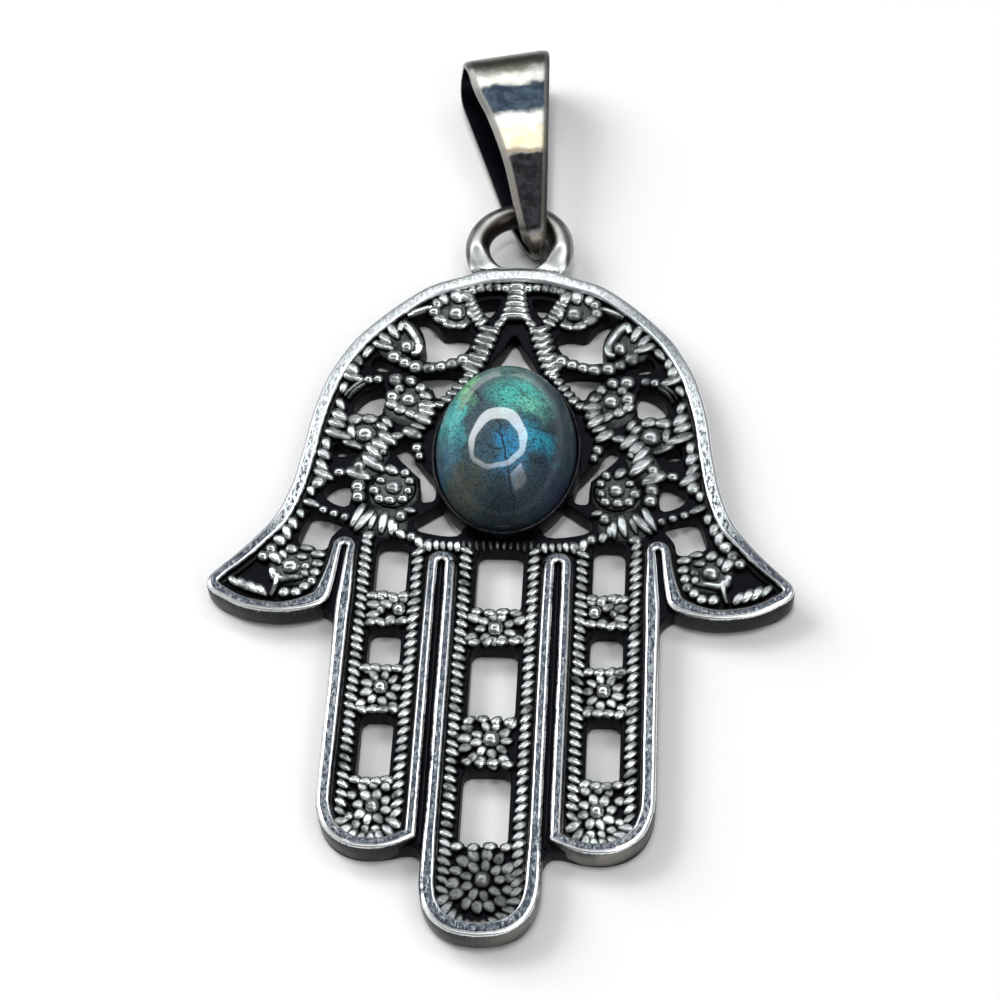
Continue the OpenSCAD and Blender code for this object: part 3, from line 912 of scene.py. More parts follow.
for k, width in enumerate((0.84, 0.88, 0.94, 1.06, 1.22, 1.4)):
    palm.append(("bead", 0, FIRST_BAR - BAR_DISTANCE * k, width, 0.4, 0.44, wobble(5)))
print(len(palm), "lobes in straps and strings")

# %% Beads of one half: x, y, length, width
palm_beads = [
    (2.58, 14.55, 0.64, 0.6), (4.32, 9.77, 0.6, 0.54), (6.04, 7.9, 0.68, 0.62), (4.65, 5.15, 0.58, 0.5),
    (8.56, 1.12, 0.64, 0.54), (5.13, 12.06, 0.56, 0.5), (4.65, 11.75, 0.46, 0.42), (4.16, 11.52, 0.54, 0.5),
    (3.56, 11.46, 0.56, 0.42), (3.06, 11.56, 0.44, 0.4), (2.6, 11.72, 0.46, 0.42),
    (2.12, 11.93, 0.52, 0.48), (4.98, 10.8, 0.56, 0.46), (4.35, 10.74, 0.48, 0.4), (5.75, 10.84, 0.36, 0.3),
    (6.15, 10.8, 0.36, 0.3), (5.05, 9.9, 0.52, 0.5), (4.78, 10.35, 0.4, 0.34), (3.56, 14.6, 0.46, 0.42),
    (3.47, 15.05, 0.4, 0.4), (5.2, 6.95, 0.24, 0.22), (6.17, 6.2, 0.44, 0.42), (6.98, 5.88, 0.42, 0.3),
    (6.13, 5.15, 0.52, 0.46), (6.08, 4.64, 0.5, 0.44), (5.43, 4.98, 0.42, 0.34), (5.18, 4.56, 0.38, 0.34),
    (4.74, 4.5, 0.44, 0.32), (4.2, 4.56, 0.42, 0.3), (4.02, 4.98, 0.3, 0.26), (3.98, 5.48, 0.36, 0.26),
    (5.2, 5.5, 0.36, 0.22), (4.2, 5.9, 0.38, 0.3), (3.8, 7.2, 0.42, 0.34), (3.66, 6.78, 0.32, 0.28),
    (4.22, 3.7, 0.4, 0.4), (3.7, 2.66, 0.34, 0.32), (9.45, 1.95, 0.4, 0.34), (9.75, 1.57, 0.38, 0.34),
    (7.62, 0.4, 0.34, 0.32), (7.94, 1.12, 0.32, 0.24)
]
BEAD_LARGER = 0.1       # a bead is low at its edge, so it is stamped larger than it shows


def rise(width, narrow, growth, highest):
    """The height of a lobe, which grows with its width up to a limit."""
    return min(narrow + growth * width, highest)


for x, y, length, width in palm_beads:
    height = rise(width, 0.26, 0.4, 0.52)
    palm.append(("bead", x, y, length + BEAD_LARGER, width + BEAD_LARGER, height, wobble(20)))
print(len(palm_beads), "beads")

# %% Leaves of one half: head x, head y, tail x, tail y, width
leaves = [
    (5.46, 13.82, 5.11, 13.12, 0.32), (5.84, 13.32, 5.4, 12.82, 0.3), (6.08, 12.84, 5.24, 12.5, 0.3),
    (6.19, 12.56, 6.48, 12.1, 0.28), (6.8, 12.05, 6.62, 11.66, 0.3), (7.02, 11.6, 6.76, 11.15, 0.38),
    (7.25, 11.1, 6.42, 10.75, 0.34), (7.15, 10.55, 7.3, 10.15, 0.28), (7.36, 9.7, 7.15, 9.22, 0.28),
    (7.48, 9.08, 6.98, 8.62, 0.38), (7.62, 8.58, 7.02, 8.26, 0.35), (7.76, 8.08, 6.68, 7.64, 0.34),
    (6.92, 7.5, 6.2, 7.14, 0.26), (7.7, 7.6, 7.64, 7.1, 0.3), (7.88, 7.0, 7.55, 6.58, 0.36),
    (7.93, 6.46, 7.56, 5.96, 0.3), (8.02, 6.02, 7.28, 5.52, 0.34), (7.98, 5.38, 7.62, 5.26, 0.44),
    (8.12, 5.06, 8.06, 4.72, 0.26), (8.3, 4.4, 7.7, 4.12, 0.27), (8.45, 3.96, 8.38, 3.58, 0.27),
    (8.74, 3.46, 8.6, 3.02, 0.3), (8.94, 3.08, 8.82, 2.48, 0.3), (9.16, 2.52, 9.1, 2.18, 0.4),
    (2.66, 15.72, 2.58, 15.2, 0.44), (2.34, 15.68, 1.98, 15.2, 0.42), (3.22, 15.5, 3.16, 15.1, 0.34),
    (3.5, 14.32, 3.02, 14.06, 0.36), (3.1, 13.98, 2.56, 13.8, 0.32), (2.5, 13.8, 2.05, 13.98, 0.3),
    (1.98, 14.72, 1.9, 14.3, 0.3), (3.98, 10.45, 3.72, 10.3, 0.38), (3.82, 10.08, 3.42, 9.82, 0.32),
    (3.86, 9.5, 3.14, 9.42, 0.36), (3.8, 9.28, 3.24, 8.94, 0.37), (5.22, 9.58, 4.84, 9.36, 0.36),
    (4.84, 9.3, 4.46, 9.12, 0.36), (4.36, 9.14, 3.96, 8.8, 0.32), (4.0, 8.98, 3.34, 8.46, 0.36),
    (4.1, 8.42, 3.56, 8.2, 0.22), (4.4, 8.15, 3.7, 7.74, 0.36), (4.9, 7.78, 4.46, 7.84, 0.3),
    (6.8, 8.62, 6.26, 8.72, 0.4), (6.18, 8.76, 5.66, 8.62, 0.36), (5.55, 8.42, 5.2, 8.12, 0.26),
    (5.32, 8.72, 5.02, 8.32, 0.26), (5.42, 7.96, 4.78, 7.38, 0.36), (5.66, 7.56, 5.14, 7.12, 0.37),
    (6.7, 8.28, 6.6, 7.74, 0.28), (5.92, 7.34, 5.3, 6.56, 0.32), (6.04, 6.8, 5.18, 6.0, 0.4),
    (6.64, 6.02, 5.7, 5.58, 0.42), (4.96, 6.18, 4.58, 5.88, 0.32), (5.8, 4.24, 6.28, 3.2, 0.28),
    (5.4, 3.94, 6.1, 3.0, 0.3), (5.3, 3.76, 5.5, 3.06, 0.22), (4.88, 3.88, 5.04, 2.88, 0.3),
    (4.6, 3.56, 4.6, 2.78, 0.24), (4.42, 3.32, 4.4, 2.86, 0.2), (4.24, 2.94, 4.06, 2.62, 0.3),
    (5.66, 2.66, 5.3, 2.7, 0.32), (4.06, 4.04, 3.68, 3.95, 0.22), (3.42, 2.6, 3.3, 2.12, 0.3),
    (3.16, 2.2, 2.9, 2.5, 0.24), (9.4, 1.74, 9.06, 1.26, 0.34), (9.0, 1.84, 8.84, 1.52, 0.24),
    (8.76, 2.02, 8.42, 1.88, 0.32), (8.2, 2.06, 7.76, 1.98, 0.24), (7.72, 1.78, 7.24, 1.68, 0.28),
    (8.3, 1.62, 7.96, 1.56, 0.24), (7.62, 1.3, 7.28, 1.22, 0.28), (8.0, 0.86, 7.86, 0.66, 0.24),
    (7.64, 0.88, 7.4, 0.76, 0.3), (8.02, 0.2, 7.78, 0.08, 0.32), (8.34, -0.08, 8.08, -0.2, 0.32),
    (8.82, -0.12, 8.54, -0.22, 0.34), (9.86, 0.14, 9.48, -0.3, 0.29), (10.24, 0.28, 9.84, -0.18, 0.3),
    (10.62, 0.42, 10.2, -0.06, 0.3), (10.98, 0.5, 10.62, 0.12, 0.24), (2.98, 2.42, 2.98, 2.02, 0.24),
    (2.66, 2.44, 2.68, 2.1, 0.22), (2.4, 2.42, 2.4, 2.1, 0.2), (2.1, 2.42, 2.1, 2.08, 0.22),
    (1.8, 2.4, 1.8, 2.02, 0.24)
]
# A lobe is low at its ends and sides, so it is stamped longer and wider than the leaf it shows.
LEAF_LONGER, LEAF_WIDER = 0.22, 1.42
for x1, y1, x2, y2, width in leaves:
    angle = math.degrees(math.atan2(y2 - y1, x2 - x1))
    height = rise(width, 0.24, 0.42, 0.42) + wobble(0.02)
    length = math.dist((x1, y1), (x2, y2)) + LEAF_LONGER
    palm.append(("comma", (x1 + x2) / 2, (y1 + y2) / 2, length, width * LEAF_WIDER, height, angle))
finish_piece(stamped(both_hands(palm)), "palm_relief", relief_silver, angle=60)

# %% Low cushions under the flowers: x, y, length, width, height, turn
cushions = [("bead", *measures) for measures in (
    (2.65, 14.65, 1.8, 1.7, 0.17, 0), (4.3, 9.6, 2.0, 2.1, 0.17, 20), (6.05, 8.0, 1.9, 1.6, 0.17, 0),
    (4.65, 5.12, 2.15, 2.0, 0.17, 0), (8.5, 1.2, 2.0, 1.8, 0.17, 0), (5.0, 3.5, 2.2, 1.5, 0.15, 0),
    (5.75, 6.6, 1.3, 1.9, 0.15, 30), (5.2, 13.0, 1.5, 1.7, 0.15, 0)
)]
finish_piece(stamped(both_hands(cushions)), "flower_cushions", cushion_silver, angle=60)

# %% Curls, ledges, veins and the thumbs' forks
bar_section = [
    (1, 0, 0.8, 0), (1, 0, 1.08, 0), (0.7, 0, 1.22, 1), (0, 0, 1.26, 1), (-0.7, 0, 1.22, 1),
    (-1, 0, 1.08, 0), (-1, 0, 0.8, 0)
]
bars_half = {
    "curl": [
        (5.02, 13.45, 0.3), (4.9, 13.84, 0.42), (4.62, 13.7, 0.46), (4.36, 13.3, 0.46), (4.16, 12.9, 0.46),
        (4.1, 12.55, 0.44), (4.2, 12.25, 0.36), (4.4, 12.2, 0.26)
    ],
    "ledge": [(4.72, 14.3, 0.16), (4.4, 14.52, 0.28), (3.98, 14.72, 0.28), (3.7, 14.82, 0.18)],
    "vein_low": [(6.3, 10.5, 0.1), (6.7, 10.15, 0.14), (6.95, 9.7, 0.1)],
    "vein_high": [(6.42, 10.66, 0.1), (6.84, 10.3, 0.14), (7.12, 9.85, 0.1)],
    "fork_arm": [(9.3, 0.9, 0.3), (9.18, 0.66, 0.5), (8.95, 0.45, 0.36), (8.5, 0.5, 0.3), (8.0, 0.56, 0.12)],
    "fork_leg": [(9.05, 0.5, 0.3), (9.12, 0.05, 0.22), (9.24, -0.38, 0.16)]
}
for label, points in bars_half.items():
    path = smooth(points, 5)
    finish_piece(swept(path, bar_section), f"{label}_right", relief_silver, angle=50)
    finish_piece(swept(mirrored(path), bar_section), f"{label}_left", relief_silver, angle=50)

# %% Hoops, the roots of the fingers and the curls' beads
HOOP_WIDTH = 0.13
hoop_section = [(1, 0, 0.8, 0), (0.8, 0, 1.0, 0), (0, 0, 1.07, 1), (-0.8, 0, 1.0, 0), (-1, 0, 0.8, 0)]
for x, y, radius, label in ((6.04, 7.9, 0.48, "upper"), (4.66, 5.1, 0.93, "lower")):
    for side, name in ((1, "right"), (-1, "left")):
        path = [(side * px, py, HOOP_WIDTH) for px, py in arc(x, y, radius, 0, 345, 23)]
        hoop = swept(path, hoop_section, closed=True)
        finish_piece(hoop, f"flower_hoop_{label}_{name}", relief_silver, angle=50)
FIRST_TOOTH, TOOTH_STEP = -1.55, 0.28
teeth = [
    ("comma", FIRST_TOOTH + TOOTH_STEP * k, 2.35 + wobble(0.04), 0.5, 0.17, 0.24, 90 + wobble(8))
    for k in range(12)
]
finish_piece(stamped(teeth), "root_teeth", cushion_silver, angle=60)
curl_bead = [("bead", 4.62, 12.62, 0.6, 0.6, 0.5, 0)]
finish_piece(stamped(both_hands(curl_bead)), "curl_beads", bead_silver, angle=60)

# %% [markdown]
# ## The setting
#
# A thin oval wall holds the stone. It is a tube without ends, stretched to the stone's oval, given
# a wall by Solidify and a soft lip by Bevel. It is almost black, with a worn lip.

# %% Setting wall
def use_modifier(obj, kind, **settings):
    """Adds a modifier with its settings and applies it."""
    only(obj)
    modifier = obj.modifiers.new(kind.lower(), kind)
    for key, value in settings.items():
        setattr(modifier, key, value)
    bpy.ops.object.modifier_apply(modifier=modifier.name)


SETTING = {"bottom": 0.5, "top": 1.5, "gap": 0.05, "wall": 0.14, "lip": 0.045}
start_clean()
bpy.ops.mesh.primitive_cylinder_add(vertices=96, radius=1, depth=1, end_fill_type="NOTHING")
setting = bpy.context.object
setting.scale = (
    (STONE["half_w"] + SETTING["gap"]) * MM, (STONE["half_l"] + SETTING["gap"]) * MM,
    (SETTING["top"] - SETTING["bottom"]) * MM
)
setting.location.z = (SETTING["top"] + SETTING["bottom"]) / 2 * MM
place_into_mesh(setting)
use_modifier(setting, "SOLIDIFY", thickness=SETTING["wall"] * MM, offset=1.0)
use_modifier(setting, "BEVEL", width=SETTING["lip"] * MM, segments=2, limit_method="ANGLE")
finish_piece(setting, "stone_setting", silver("setting_silver", 1.38, 1.6, 0.05, 0.2), angle=50)

# %% [markdown]
# ## The stone
#
# A cabochon is a flat-backed dome. A ball is stretched to the oval, cut at the girdle, and its cut
# edge is pulled straight down for the girdle's wall. Its polish is a clear coat. Under it the
# colours of labradorite are soft patches of green, teal and blue on grey, with dark specks and a
# few healed cracks.

# %% Dome and girdle
girdle_spread = 1 / math.sqrt(1 - (STONE["girdle"] / STONE["height"]) ** 2)
girdle_top = (STONE["seat"] + STONE["girdle"]) * MM
start_clean()
bpy.ops.mesh.primitive_uv_sphere_add(segments=96, ring_count=64, radius=1)
stone = bpy.context.object
stone.location.z = STONE["seat"] * MM
stone.scale = Vector((girdle_spread * STONE["half_w"], girdle_spread * STONE["half_l"], STONE["height"])) * MM
place_into_mesh(stone)
with editing(stone):
    bpy.ops.mesh.bisect(plane_co=(0, 0, girdle_top), plane_no=(0, 0, 1), clear_inner=True, use_fill=True)
    bpy.ops.mesh.extrude_region_move(TRANSFORM_OT_translate={"value": (0, 0, -STONE["girdle"] * MM)})
tidy_mesh(stone)
print("stone of", len(stone.data.vertices), "points")


# %% Node groups for the stone
def build_flash_group():
    """A soft patch of colour: 1 in its middle and 0 outside its size."""
    defaults = {"Place": (0, 0, 0), "Middle": (0, 0, 0), "Size": (1, 1, 1), "Soft": 0.6}
    group, given = new_group("flash_patch", defaults, {"Mask": "Float"})
    away = vectors("DIVIDE", vectors("SUBTRACT", given["Place"], given["Middle"]), given["Size"])
    put_out(group, 1.0 - ramp(length_of(away), 1.0 - given["Soft"], 1.0))
    return group


def build_crack_group():
    """A dark wavering line through Middle, turned by Turn, of half length Reach. Lengths in mm."""
    defaults = {"Place": (0, 0, 0), "Middle": (0, 0, 0), "Turn": 0.0, "Reach": 1.0, "Wide": 0.04}
    group, given = new_group("healed_crack", defaults, {"Mask": "Float"})
    away = vectors("SUBTRACT", given["Place"], given["Middle"])
    turned_place = add_node("VectorRotate", {"Vector": away, "Angle": given["Turn"]}, rotation_type="Z_AXIS")
    across, along, _ = axes(turned_place)
    waver = (noise(given["Place"], 1.6, 4.0, 0.6) - 0.5) * 0.5
    line = 1.0 - ramp(maths("ABSOLUTE", across + waver), given["Wide"] * 0.3, given["Wide"])
    fade = 1.0 - ramp(maths("ABSOLUTE", along), given["Reach"] * 0.7, given["Reach"])
    put_out(group, line * fade)
    return group


flash_group, crack_group = build_flash_group(), build_crack_group()
print("groups:", flash_group.name, crack_group.name)

# %% Patches of colour and cracks in the stone
# Middle x, middle y, half width and half length in millimetres, softness, colour.
FLASHES = (
    (0.2, -4.2, 3.4, 1.9, 0.8, (0.014, 0.020, 0.028)), (-1.75, -3.0, 1.6, 1.7, 0.7, (0.046, 0.052, 0.036)),
    (2.3, -2.6, 1.0, 1.8, 0.9, (0.028, 0.030, 0.070)), (0.0, 2.6, 2.6, 1.8, 0.9, (0.055, 0.130, 0.115)),
    (-2.1, 0.1, 0.8, 2.4, 0.8, (0.050, 0.340, 0.320)), (-1.6, 1.7, 0.6, 1.6, 0.9, (0.150, 0.420, 0.200)),
    (0.6, 0.9, 1.7, 1.5, 0.8, (0.070, 0.430, 0.370)), (1.1, 0.3, 0.9, 0.8, 0.9, (0.170, 0.560, 0.420)),
    (1.2, -1.1, 1.3, 0.9, 0.8, (0.022, 0.300, 0.450)), (0.3, -1.7, 1.0, 1.4, 0.7, (0.020, 0.210, 0.400)),
    (-2.3, -1.3, 0.8, 1.4, 0.9, (0.025, 0.090, 0.150)), (-0.6, -1.8, 0.6, 1.0, 0.7, (0.030, 0.070, 0.100))
)
# Middle x and y, turn in radians, half length and half width.
CRACKS = (
    (0.15, -1.9, -0.22, 2.3, 0.07), (-1.5, 1.7, -0.5, 1.5, 0.05), (-0.6, -1.6, -1.2, 0.7, 0.04),
    (-0.35, -3.55, 0.9, 0.55, 0.05), (1.6, -0.6, 1.4, 0.8, 0.035), (-1.9, 0.9, -1.0, 0.6, 0.03)
)
print(len(FLASHES), "patches and", len(CRACKS), "cracks")


# %% The stone's finish
def stone_material():
    """Patches, clouds, specks and cracks over grey, under a clear coat that fades towards the edge."""
    material, tree = new_material("labradorite")
    mm = vectors("MULTIPLY", place_in(tree), (1000, 1000, 1000))
    swirl = add_node("TexNoise", {"Vector": mm, "Scale": 1.3, "Detail": 4.0}, "Color")
    pushed = vectors("MULTIPLY_ADD", vectors("SUBTRACT", swirl, (0.5, 0.5, 0.5)), (1.3, 1.3, 0), mm)
    flat = vectors("MULTIPLY", pushed, (1, 1, 0))
    layers = []
    for x, y, wide, long, soft, tone in FLASHES:
        inputs = {"Place": flat, "Middle": (x, y, 0), "Size": (wide, long, 1), "Soft": soft}
        layers.append((add_node("Group", inputs, node_tree=flash_group), tone))
    layers += [
        (ramp(noise(mm, 2.6, 5.0, 0.7), 0.42, 0.8), (0.02, 0.035, 0.05)),
        (ramp(noise(mm, 11.0, 3.0, 0.6), 0.53, 0.585) * 0.85, (0.006, 0.011, 0.016)),
        (ramp(noise(mm, 30.0), 0.5, 0.75) * 0.35, (0.13, 0.23, 0.25))
    ]
    for x, y, turn, reach, wide in CRACKS:
        inputs = {"Place": mm, "Middle": (x, y, 0), "Turn": turn, "Reach": reach, "Wide": wide}
        layers.append((add_node("Group", inputs, node_tree=crack_group) * 0.85, (0.006, 0.012, 0.016)))
    colour = (0.030, 0.055, 0.070)
    for share, tone in layers:
        colour = mix(share, colour, tone)
    dimmed = mix(1.0, colour, (0.68, 0.68, 0.68), "MULTIPLY")
    from_middle = length_of(vectors("MULTIPLY", mm, (1 / STONE["half_w"], 1 / STONE["half_l"], 0)))
    clear_coat = 1.0 - ramp(from_middle, 0.5, 0.72) * 0.9
    return shade(material, {
        "Base Color": dimmed, "Roughness": 0.3, "IOR": 1.56, "Specular IOR Level": 0.15,
        "Coat Weight": clear_coat, "Coat Roughness": 0.02, "Coat IOR": 1.95
    })


finish_piece(stone, "stone", stone_material(), 50, stands_for=("cabochon",))

# %% [markdown]
# ## The ring on top
#
# The ring is a torus whose foot is cut off where it is soldered to the rim. Towards the cut it is
# flattened to the rim's height and widened a little, as solder fills the corner.

# %% Soldered ring
RING = {
    "y": 18.25, "z": 1.15, "radius": 1.87, "wire": 0.54, "foot": 16.88, "eased": 1.22, "flatter": 0.7,
    "wider": 0.05
}
start_clean()
bpy.ops.mesh.primitive_torus_add(
    location=(0, along_hand(RING["y"]), RING["z"] * MM), major_segments=96, minor_segments=32,
    major_radius=RING["radius"] * MM, minor_radius=RING["wire"] * MM
)
ring = bpy.context.object
place_into_mesh(ring)
cut = (0, along_hand(RING["foot"]), 0)
with editing(ring):
    bpy.ops.mesh.bisect(plane_co=cut, plane_no=(0, 1, 0), clear_inner=True, use_fill=True)
tidy_mesh(ring)
for v in ring.data.vertices:
    from_foot = v.co.y / MM - THUMB_LINE - RING["foot"]
    low = min(max(1 - from_foot / RING["eased"], 0), 1)
    v.co.z = RING["z"] * MM + (v.co.z - RING["z"] * MM) * (1 - RING["flatter"] * low * low * (3 - 2 * low))
    v.co.x *= 1 + RING["wider"] * low * low
print("ring of", len(ring.data.vertices), "points")


# %% Polished silver of the ring
def polished_material(name, low, high, tones):
    """Polished silver between two tones with faint scratches. The function tones lays others over them."""
    material, tree = new_material(name)
    place = place_in(tree)
    fine = noise(place, 8000, 4.0, 0.7)
    colour = tones(place, fine, mix(ramp(noise(place, 900, 3.0), 0.35, 0.65), low, high))
    return shade(material, {
        "Base Color": mix(ramp(fine, 0.6, 0.72) * 0.3, colour, (0.03, 0.03, 0.032)),
        "Roughness": ramp(fine, -1.2, 3.4, "LINEAR"), "Metallic": 1.0, "Normal": bump(fine, 0.1, 0.01)
    })


def ring_tones(place, fine, colour):
    """Brown-black inside the upper half, and a painted highlight along the wire towards the soldered feet."""
    y = axes(place)[1]
    flat = vectors("MULTIPLY", vectors("SUBTRACT", place, (0, along_hand(RING["y"]), 0)), (1, 1, 0))
    away = length_of(flat)

    def between(low, high):
        return ramp(y, along_hand(low), along_hand(high))

    inside = ramp(away, 1.84 * MM, 1.6 * MM) * between(17.5, 18.3)
    off_crown = maths("ABSOLUTE", away - 1.95 * MM)
    # Painted highlight: a bright band along the middle of the wire towards the feet.
    rubbed = ramp(off_crown, 0.36 * MM, 0.12 * MM) * between(18.8, 17.9)
    crown = mix(between(18.0, 17.6), (0.6, 0.6, 0.58), (0.9, 0.91, 0.89))
    # Painted highlight: bright streaked silver where the feet meet the rim.
    streaked_foot_highlight = mix(ramp(fine, 0.4, 0.65), (0.66, 0.67, 0.66), (0.84, 0.86, 0.85))
    for share, tone in ((inside, (0.05, 0.042, 0.035)), (rubbed, crown), (between(17.35, 16.95), streaked_foot_highlight)):
        colour = mix(share, colour, tone)
    return colour


ring_silver = polished_material("polished_ring", (0.12, 0.12, 0.11), (0.34, 0.34, 0.32), ring_tones)
finish_piece(ring, "top_ring", ring_silver, angle=80)

# %% [markdown]
# ## The bail
#
# The bail is one strap, narrow where it passes through the ring and wide where it folds over for the
# chain. Its side view is a long loop round two bends, and its front view a tapered tongue. The
# strap's section is swept round that loop, as wide at each place as the tongue is there, and the
# finished loop is laid down as it lies in the ring: turned, lifted at its wide end, and rolled.

# %% The bail's measures
BAIL = {
    "length": 8.8, "foot_r": 0.72, "bend_r": 1.2, "half_tip": 0.42, "half_top": 2.12, "thick": 0.3,
    "corner": 1.1, "trim": 0.22, "flare": 0.17, "flare_to": 1.8, "skew": 0.14
}
BAIL_LIES = {"x": 0.5, "y": 18.9, "z": 1.15, "yaw": 10.0, "pitch": 3.8, "roll": 8.0}
# The left edge of its front: distance from the lower bend, half width.
BAIL_LEFT = [
    (-1.1, 0.3), (-0.6, 0.54), (0, 0.69), (2.2, 0.8), (3.3, 0.87), (4.3, 0.99), (5.4, 1.18), (6.5, 1.41),
    (7.3, 1.66), (8.0, 1.83), (8.8, 1.92), (10.4, 2.1)
]


def bail_sides(u, v):
    """Left and right edge of the strap at u from the centre of its lower bend.

    The left edge of the front (v > 0) is pinched in, as BAIL_LEFT measures it."""
    top = BAIL["length"] + BAIL["bend_r"] + BAIL["thick"]
    bottom = -BAIL["foot_r"] - BAIL["thick"]
    t = (u - bottom) / (top - bottom)
    right = BAIL["half_tip"] + (BAIL["half_top"] - BAIL["half_tip"]) * t
    (a, b), (c, d) = next(pair for pair in zip(BAIL_LEFT, BAIL_LEFT[1:]) if u <= pair[1][0])
    pinched = b + (d - b) * (u - a) / (c - a)
    front = min(max(v + 0.5, 0), 1)
    left = -right + front * (right - pinched) + (1 - front) * BAIL["flare"] * max(BAIL["flare_to"] - u, 0)
    over = min(max((u - top + BAIL["corner"]) / BAIL["corner"], 0), 1)
    under = min(max((bottom + BAIL["half_tip"] - u) / BAIL["half_tip"], 0), 1)
    trim = BAIL["trim"] * (1 - math.sqrt(1 - over ** 2))
    trim += 0.9 * BAIL["half_tip"] * (1 - math.sqrt(1 - under ** 2))
    return left + trim, right - trim


def bail_loop():
    """Points of the loop's middle line as (u, v, normal u, normal v), front side first."""
    r0, r1, far = BAIL["foot_r"] + BAIL["thick"] / 2, BAIL["bend_r"] + BAIL["thick"] / 2, BAIL["length"]
    tilt = math.degrees(math.asin((r1 - r0) / far))
    loop = []
    for centre, radius, start, end, count in (
        (0, r0, 270 - tilt, 90 + tilt, 18), (far, r1, 90 + tilt, -90 - tilt, 24)
    ):
        for k in range(count + 1):
            a = math.radians(start + (end - start) * k / count)
            loop.append((centre + radius * math.cos(a), radius * math.sin(a), math.cos(a), math.sin(a)))
    out = []
    for a, b in zip(loop, loop[1:] + loop[:1]):
        steps = 16 if math.dist(a[:2], b[:2]) > 2 else 1
        out += [tuple(p + (q - p) * k / steps for p, q in zip(a, b)) for k in range(steps)]
    return out


print("the loop has", len(bail_loop()), "points")

# %% The strap
# Corners of the section: share of the half width, share of the thickness outwards. Beyond EDGE_FROM
# the rounding keeps its size along the strap, EDGE_SIZE millimetres for a share of 1.
EDGE_FROM, EDGE_SIZE = 0.8, 2.3
strap_section = [
    (-1, -0.5), (-1, -0.2), (-1, 0.2), (-0.95, 0.42), (-0.85, 0.5), (-0.4, 0.5), (0, 0.5), (0.4, 0.5),
    (0.85, 0.5), (0.95, 0.42), (1, 0.2), (1, -0.2), (1, -0.5), (0.4, -0.5), (-0.4, -0.5)
]
lay = (
    Matrix.Translation([BAIL_LIES[axis] for axis in "xyz"])
    @ Matrix.Rotation(math.radians(BAIL_LIES["yaw"]), 4, "Z")
    @ Matrix.Rotation(math.radians(BAIL_LIES["pitch"]), 4, "X")
    @ Matrix.Rotation(math.radians(BAIL_LIES["roll"]), 4, "Y")
)
points, along, edge, inner = [], [], [], []
for u, v, nu, nv in bail_loop():
    left, right = bail_sides(u, v)
    middle, half = (left + right) / 2, (right - left) / 2
    skew = BAIL["skew"] * max(u, 0) / BAIL["length"]
    for share, out in strap_section:
        near_edge = math.copysign(half - (1 - abs(share)) * EDGE_SIZE, share)
        x = middle + (near_edge if abs(share) > EDGE_FROM else half * share)
        outward = BAIL["thick"] * out
        points.append(tuple(lay @ Vector((x, u + skew * x + nu * outward, v + nv * outward))))
        along.append(u)
        edge.append(1.0 if abs(share) > 0.9 else 0.0)
        inner.append(1.0 if out < -0.3 else 0.0)
faces = tube_faces(len(bail_loop()), len(strap_section), closed=True)
bail = new_mesh(points, faces, along=along, edge=edge, inner=inner)
tidy_mesh(bail)
print("strap of", len(bail.data.vertices), "points")

# %% Toned silver of the bail, with painted reflections and painted shade
# Bands of tarnish and painted reflections: start, end and softness of the start in millimetres
# from the lower bend, and two tones.
TARNISH_AND_REFLECTIONS = (
    (-3.0, -0.4, 0.5, (0.11, 0.10, 0.085), (0.17, 0.155, 0.13)),
    (-0.4, 3.95, 0.2, (0.0085, 0.008, 0.009), (0.022, 0.020, 0.022)),
    (3.95, 4.2, 0.15, (0.16, 0.11, 0.05), (0.22, 0.18, 0.11)),
    (4.2, 5.35, 0.2, (0.52, 0.46, 0.29), (0.54, 0.51, 0.40)),
    (5.35, 6.2, 0.35, (0.50, 0.49, 0.44), (0.54, 0.54, 0.50)),
    (6.2, 7.85, 0.25, (0.020, 0.028, 0.042), (0.042, 0.060, 0.078)),
    (7.85, 8.5, 0.22, (0.55, 0.55, 0.50), (0.46, 0.46, 0.41)),
    (8.5, 9.5, 0.3, (0.10, 0.10, 0.08), (0.13, 0.13, 0.105)),
    (9.5, 12.0, 0.4, (0.17, 0.165, 0.14), (0.23, 0.225, 0.195))
)


def tarnish_and_painted_light(place, fine, colour):
    """Tarnish and painted reflections in bands, a painted edge highlight and a painted shade inside."""
    along, edge, inner = (attribute(place.tree, name) for name in ("along", "edge", "inner"))
    clouds = ramp(noise(place, 2300, 3.0, 0.6), 0.36, 0.64)
    uneven = along + (fine - 0.5) * 0.16 + (noise(place, 1400) - 0.5) * 0.6
    # Painted reflections make the yellow, pale and blue-grey bands; the darker ones are partly tarnish.
    for low, high, soft, tone, other in TARNISH_AND_REFLECTIONS:
        inside = ramp(uneven, low - soft, low + soft) * (1.0 - ramp(uneven, high - 0.2, high + 0.2))
        colour = mix(inside, colour, mix(clouds, tone, other))
    # Painted highlight: a lighter tone along the strap's edges, paler towards its top.
    edge_highlight = mix(ramp(along, 1.5, 7.0), (0.16, 0.147, 0.13), (0.27, 0.265, 0.245))
    colour = mix(ramp(edge + fine * 0.3, 0.3, 0.9) * 0.85, colour, edge_highlight)
    # Painted shade: the inside of the loop is near black.
    return mix(inner, colour, (0.03, 0.032, 0.045))


bail_silver = polished_material("bail_tarnish_and_painted_light", (0.3, 0.3, 0.28), (0.5, 0.5, 0.48), tarnish_and_painted_light)
finish_piece(bail, "bail_strap", bail_silver, 35, stands_for=("bail",))

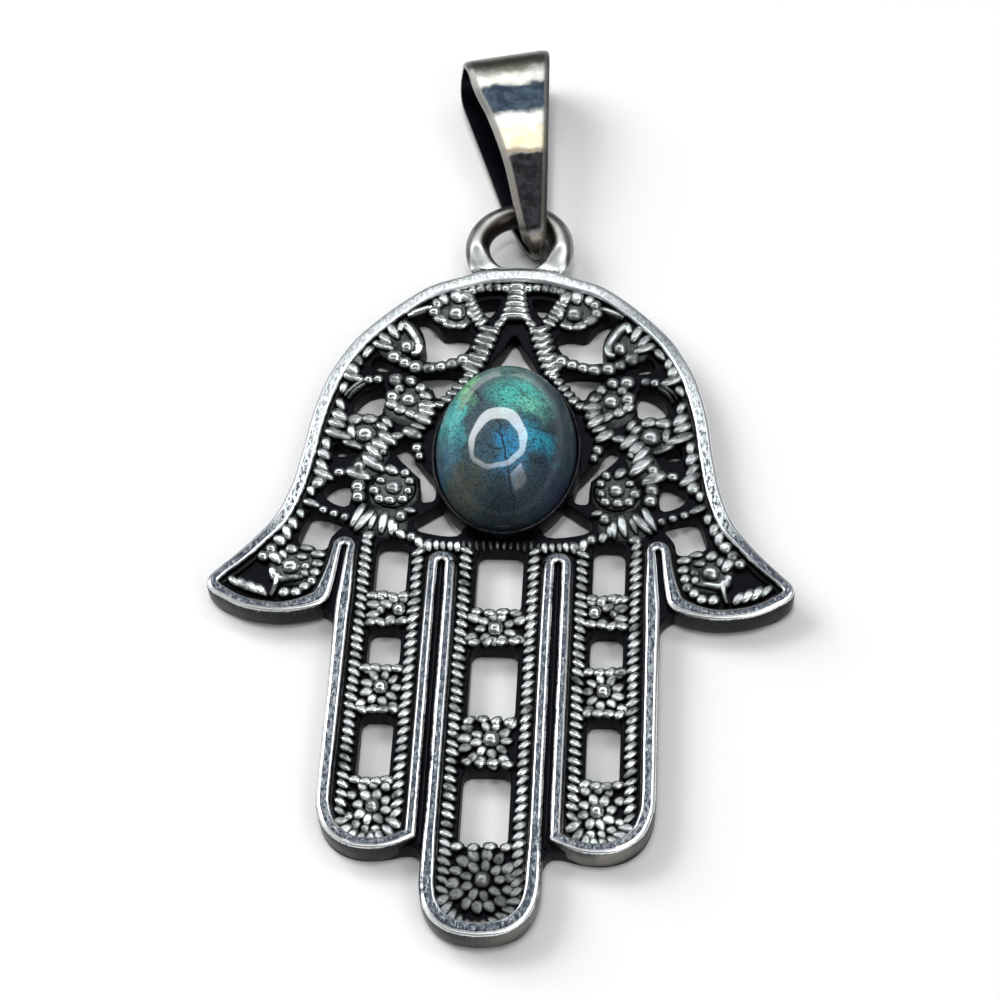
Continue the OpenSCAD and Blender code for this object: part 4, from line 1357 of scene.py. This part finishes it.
# %% [markdown]
# ## The table and the light
#
# The table is a plain white sheet. The world round it is a dim grey room with an eight-sided ring of
# lamps overhead, wider and brighter on its far side. The polished dome of the stone shows that ring
# as a pale loop, and the flat rails show the room inside it, which is why they look grey between
# their bright edges. A lamp on the left gives the soft shadow on the right, and one straight above
# lights the table through the openings. A small third lamp puts a second spot on the stone.

# %% Table
TABLE_SIZE, TABLE_GAP = 1.2, 0.02 * MM
start_clean()
bpy.ops.mesh.primitive_plane_add(size=TABLE_SIZE, location=(0, 0, -TABLE_GAP))
table = bpy.context.object
table.name = "table"
white, _ = new_material("white_table")
table.data.materials.append(
    shade(white, {"Base Color": (0.42, 0.42, 0.42), "Roughness": 0.9, "Specular IOR Level": 0.1})
)
print("table", round(TABLE_SIZE / MM), "mm wide")

# %% Room with a ring of lamps
world = bpy.data.worlds.new("room")
bpy.context.scene.world = world
world.use_nodes = True
to_sky = add_node("TexCoord", {}, "Generated", world.node_tree)
ring_middle = Vector((-0.2, 0.1, 0.974)).normalized()
ring_side = Vector((1, 0, 0.2)).normalized()
RING_HALF_WIDTH, RING_HALF_HEIGHT, RING_SIDES = 1.07, 0.577, 8.0


def towards(direction):
    """How far a view goes in this direction."""
    return vectors("DOT_PRODUCT", to_sky, tuple(direction), output="Value")


depth = maths("MAXIMUM", towards(ring_middle), 0.02)
sideways = towards(ring_side) / depth / RING_HALF_WIDTH
upward = towards(ring_middle.cross(ring_side).normalized()) / depth / RING_HALF_HEIGHT
corners = maths("COSINE", maths("ARCTAN2", upward, sideways) * RING_SIDES) * 0.03
distance = maths("SQRT", sideways * sideways + upward * upward) * (corners + 1.0)
hole = 0.9 - ramp(upward, -0.5, 0.8) * 0.3 - ramp(sideways, 0.0, 0.8) * 0.1
lamps = ramp(distance, hole, hole + 0.07) * (1.0 - ramp(distance, 1.12, 1.2))
power = ramp(upward, -0.4, 0.9) * 1.4 + 4.1
walls = (1.0 - ramp(axes(to_sky)[2], -0.1, 0.5)) * 0.12 + 0.11
background = world.node_tree.nodes["Background"]
feed(background.inputs["Strength"], walls + lamps * power)
feed(background.inputs["Color"], (0.95, 0.98, 1.0))
print("room of", len(world.node_tree.nodes), "nodes")


# %% Lamps
def soft_lamp(name, place, size, power, mirrored_in_metal=True):
    """A square lamp at place in metres, facing the pendant, of this many watts."""
    data = bpy.data.lights.new(name, "AREA")
    data.size = size
    data.energy = power
    lamp = in_scene(name, data)
    lamp.location = place
    lamp.rotation_euler = (Vector() - Vector(place)).to_track_quat("-Z", "Y").to_euler()
    lamp.visible_glossy = mirrored_in_metal
    print(f"{name}: {power} W")


soft_lamp("left_lamp", (-0.3, 0.19, 0.24), 0.28, 3.0, mirrored_in_metal=False)
soft_lamp("overhead_lamp", (0.0, 0.0, 0.5), 0.12, 1.35, mirrored_in_metal=False)
soft_lamp("window", (0.115, -0.13, 0.15), 0.1, 0.17)
bpy.context.scene.view_settings.view_transform = "Standard"
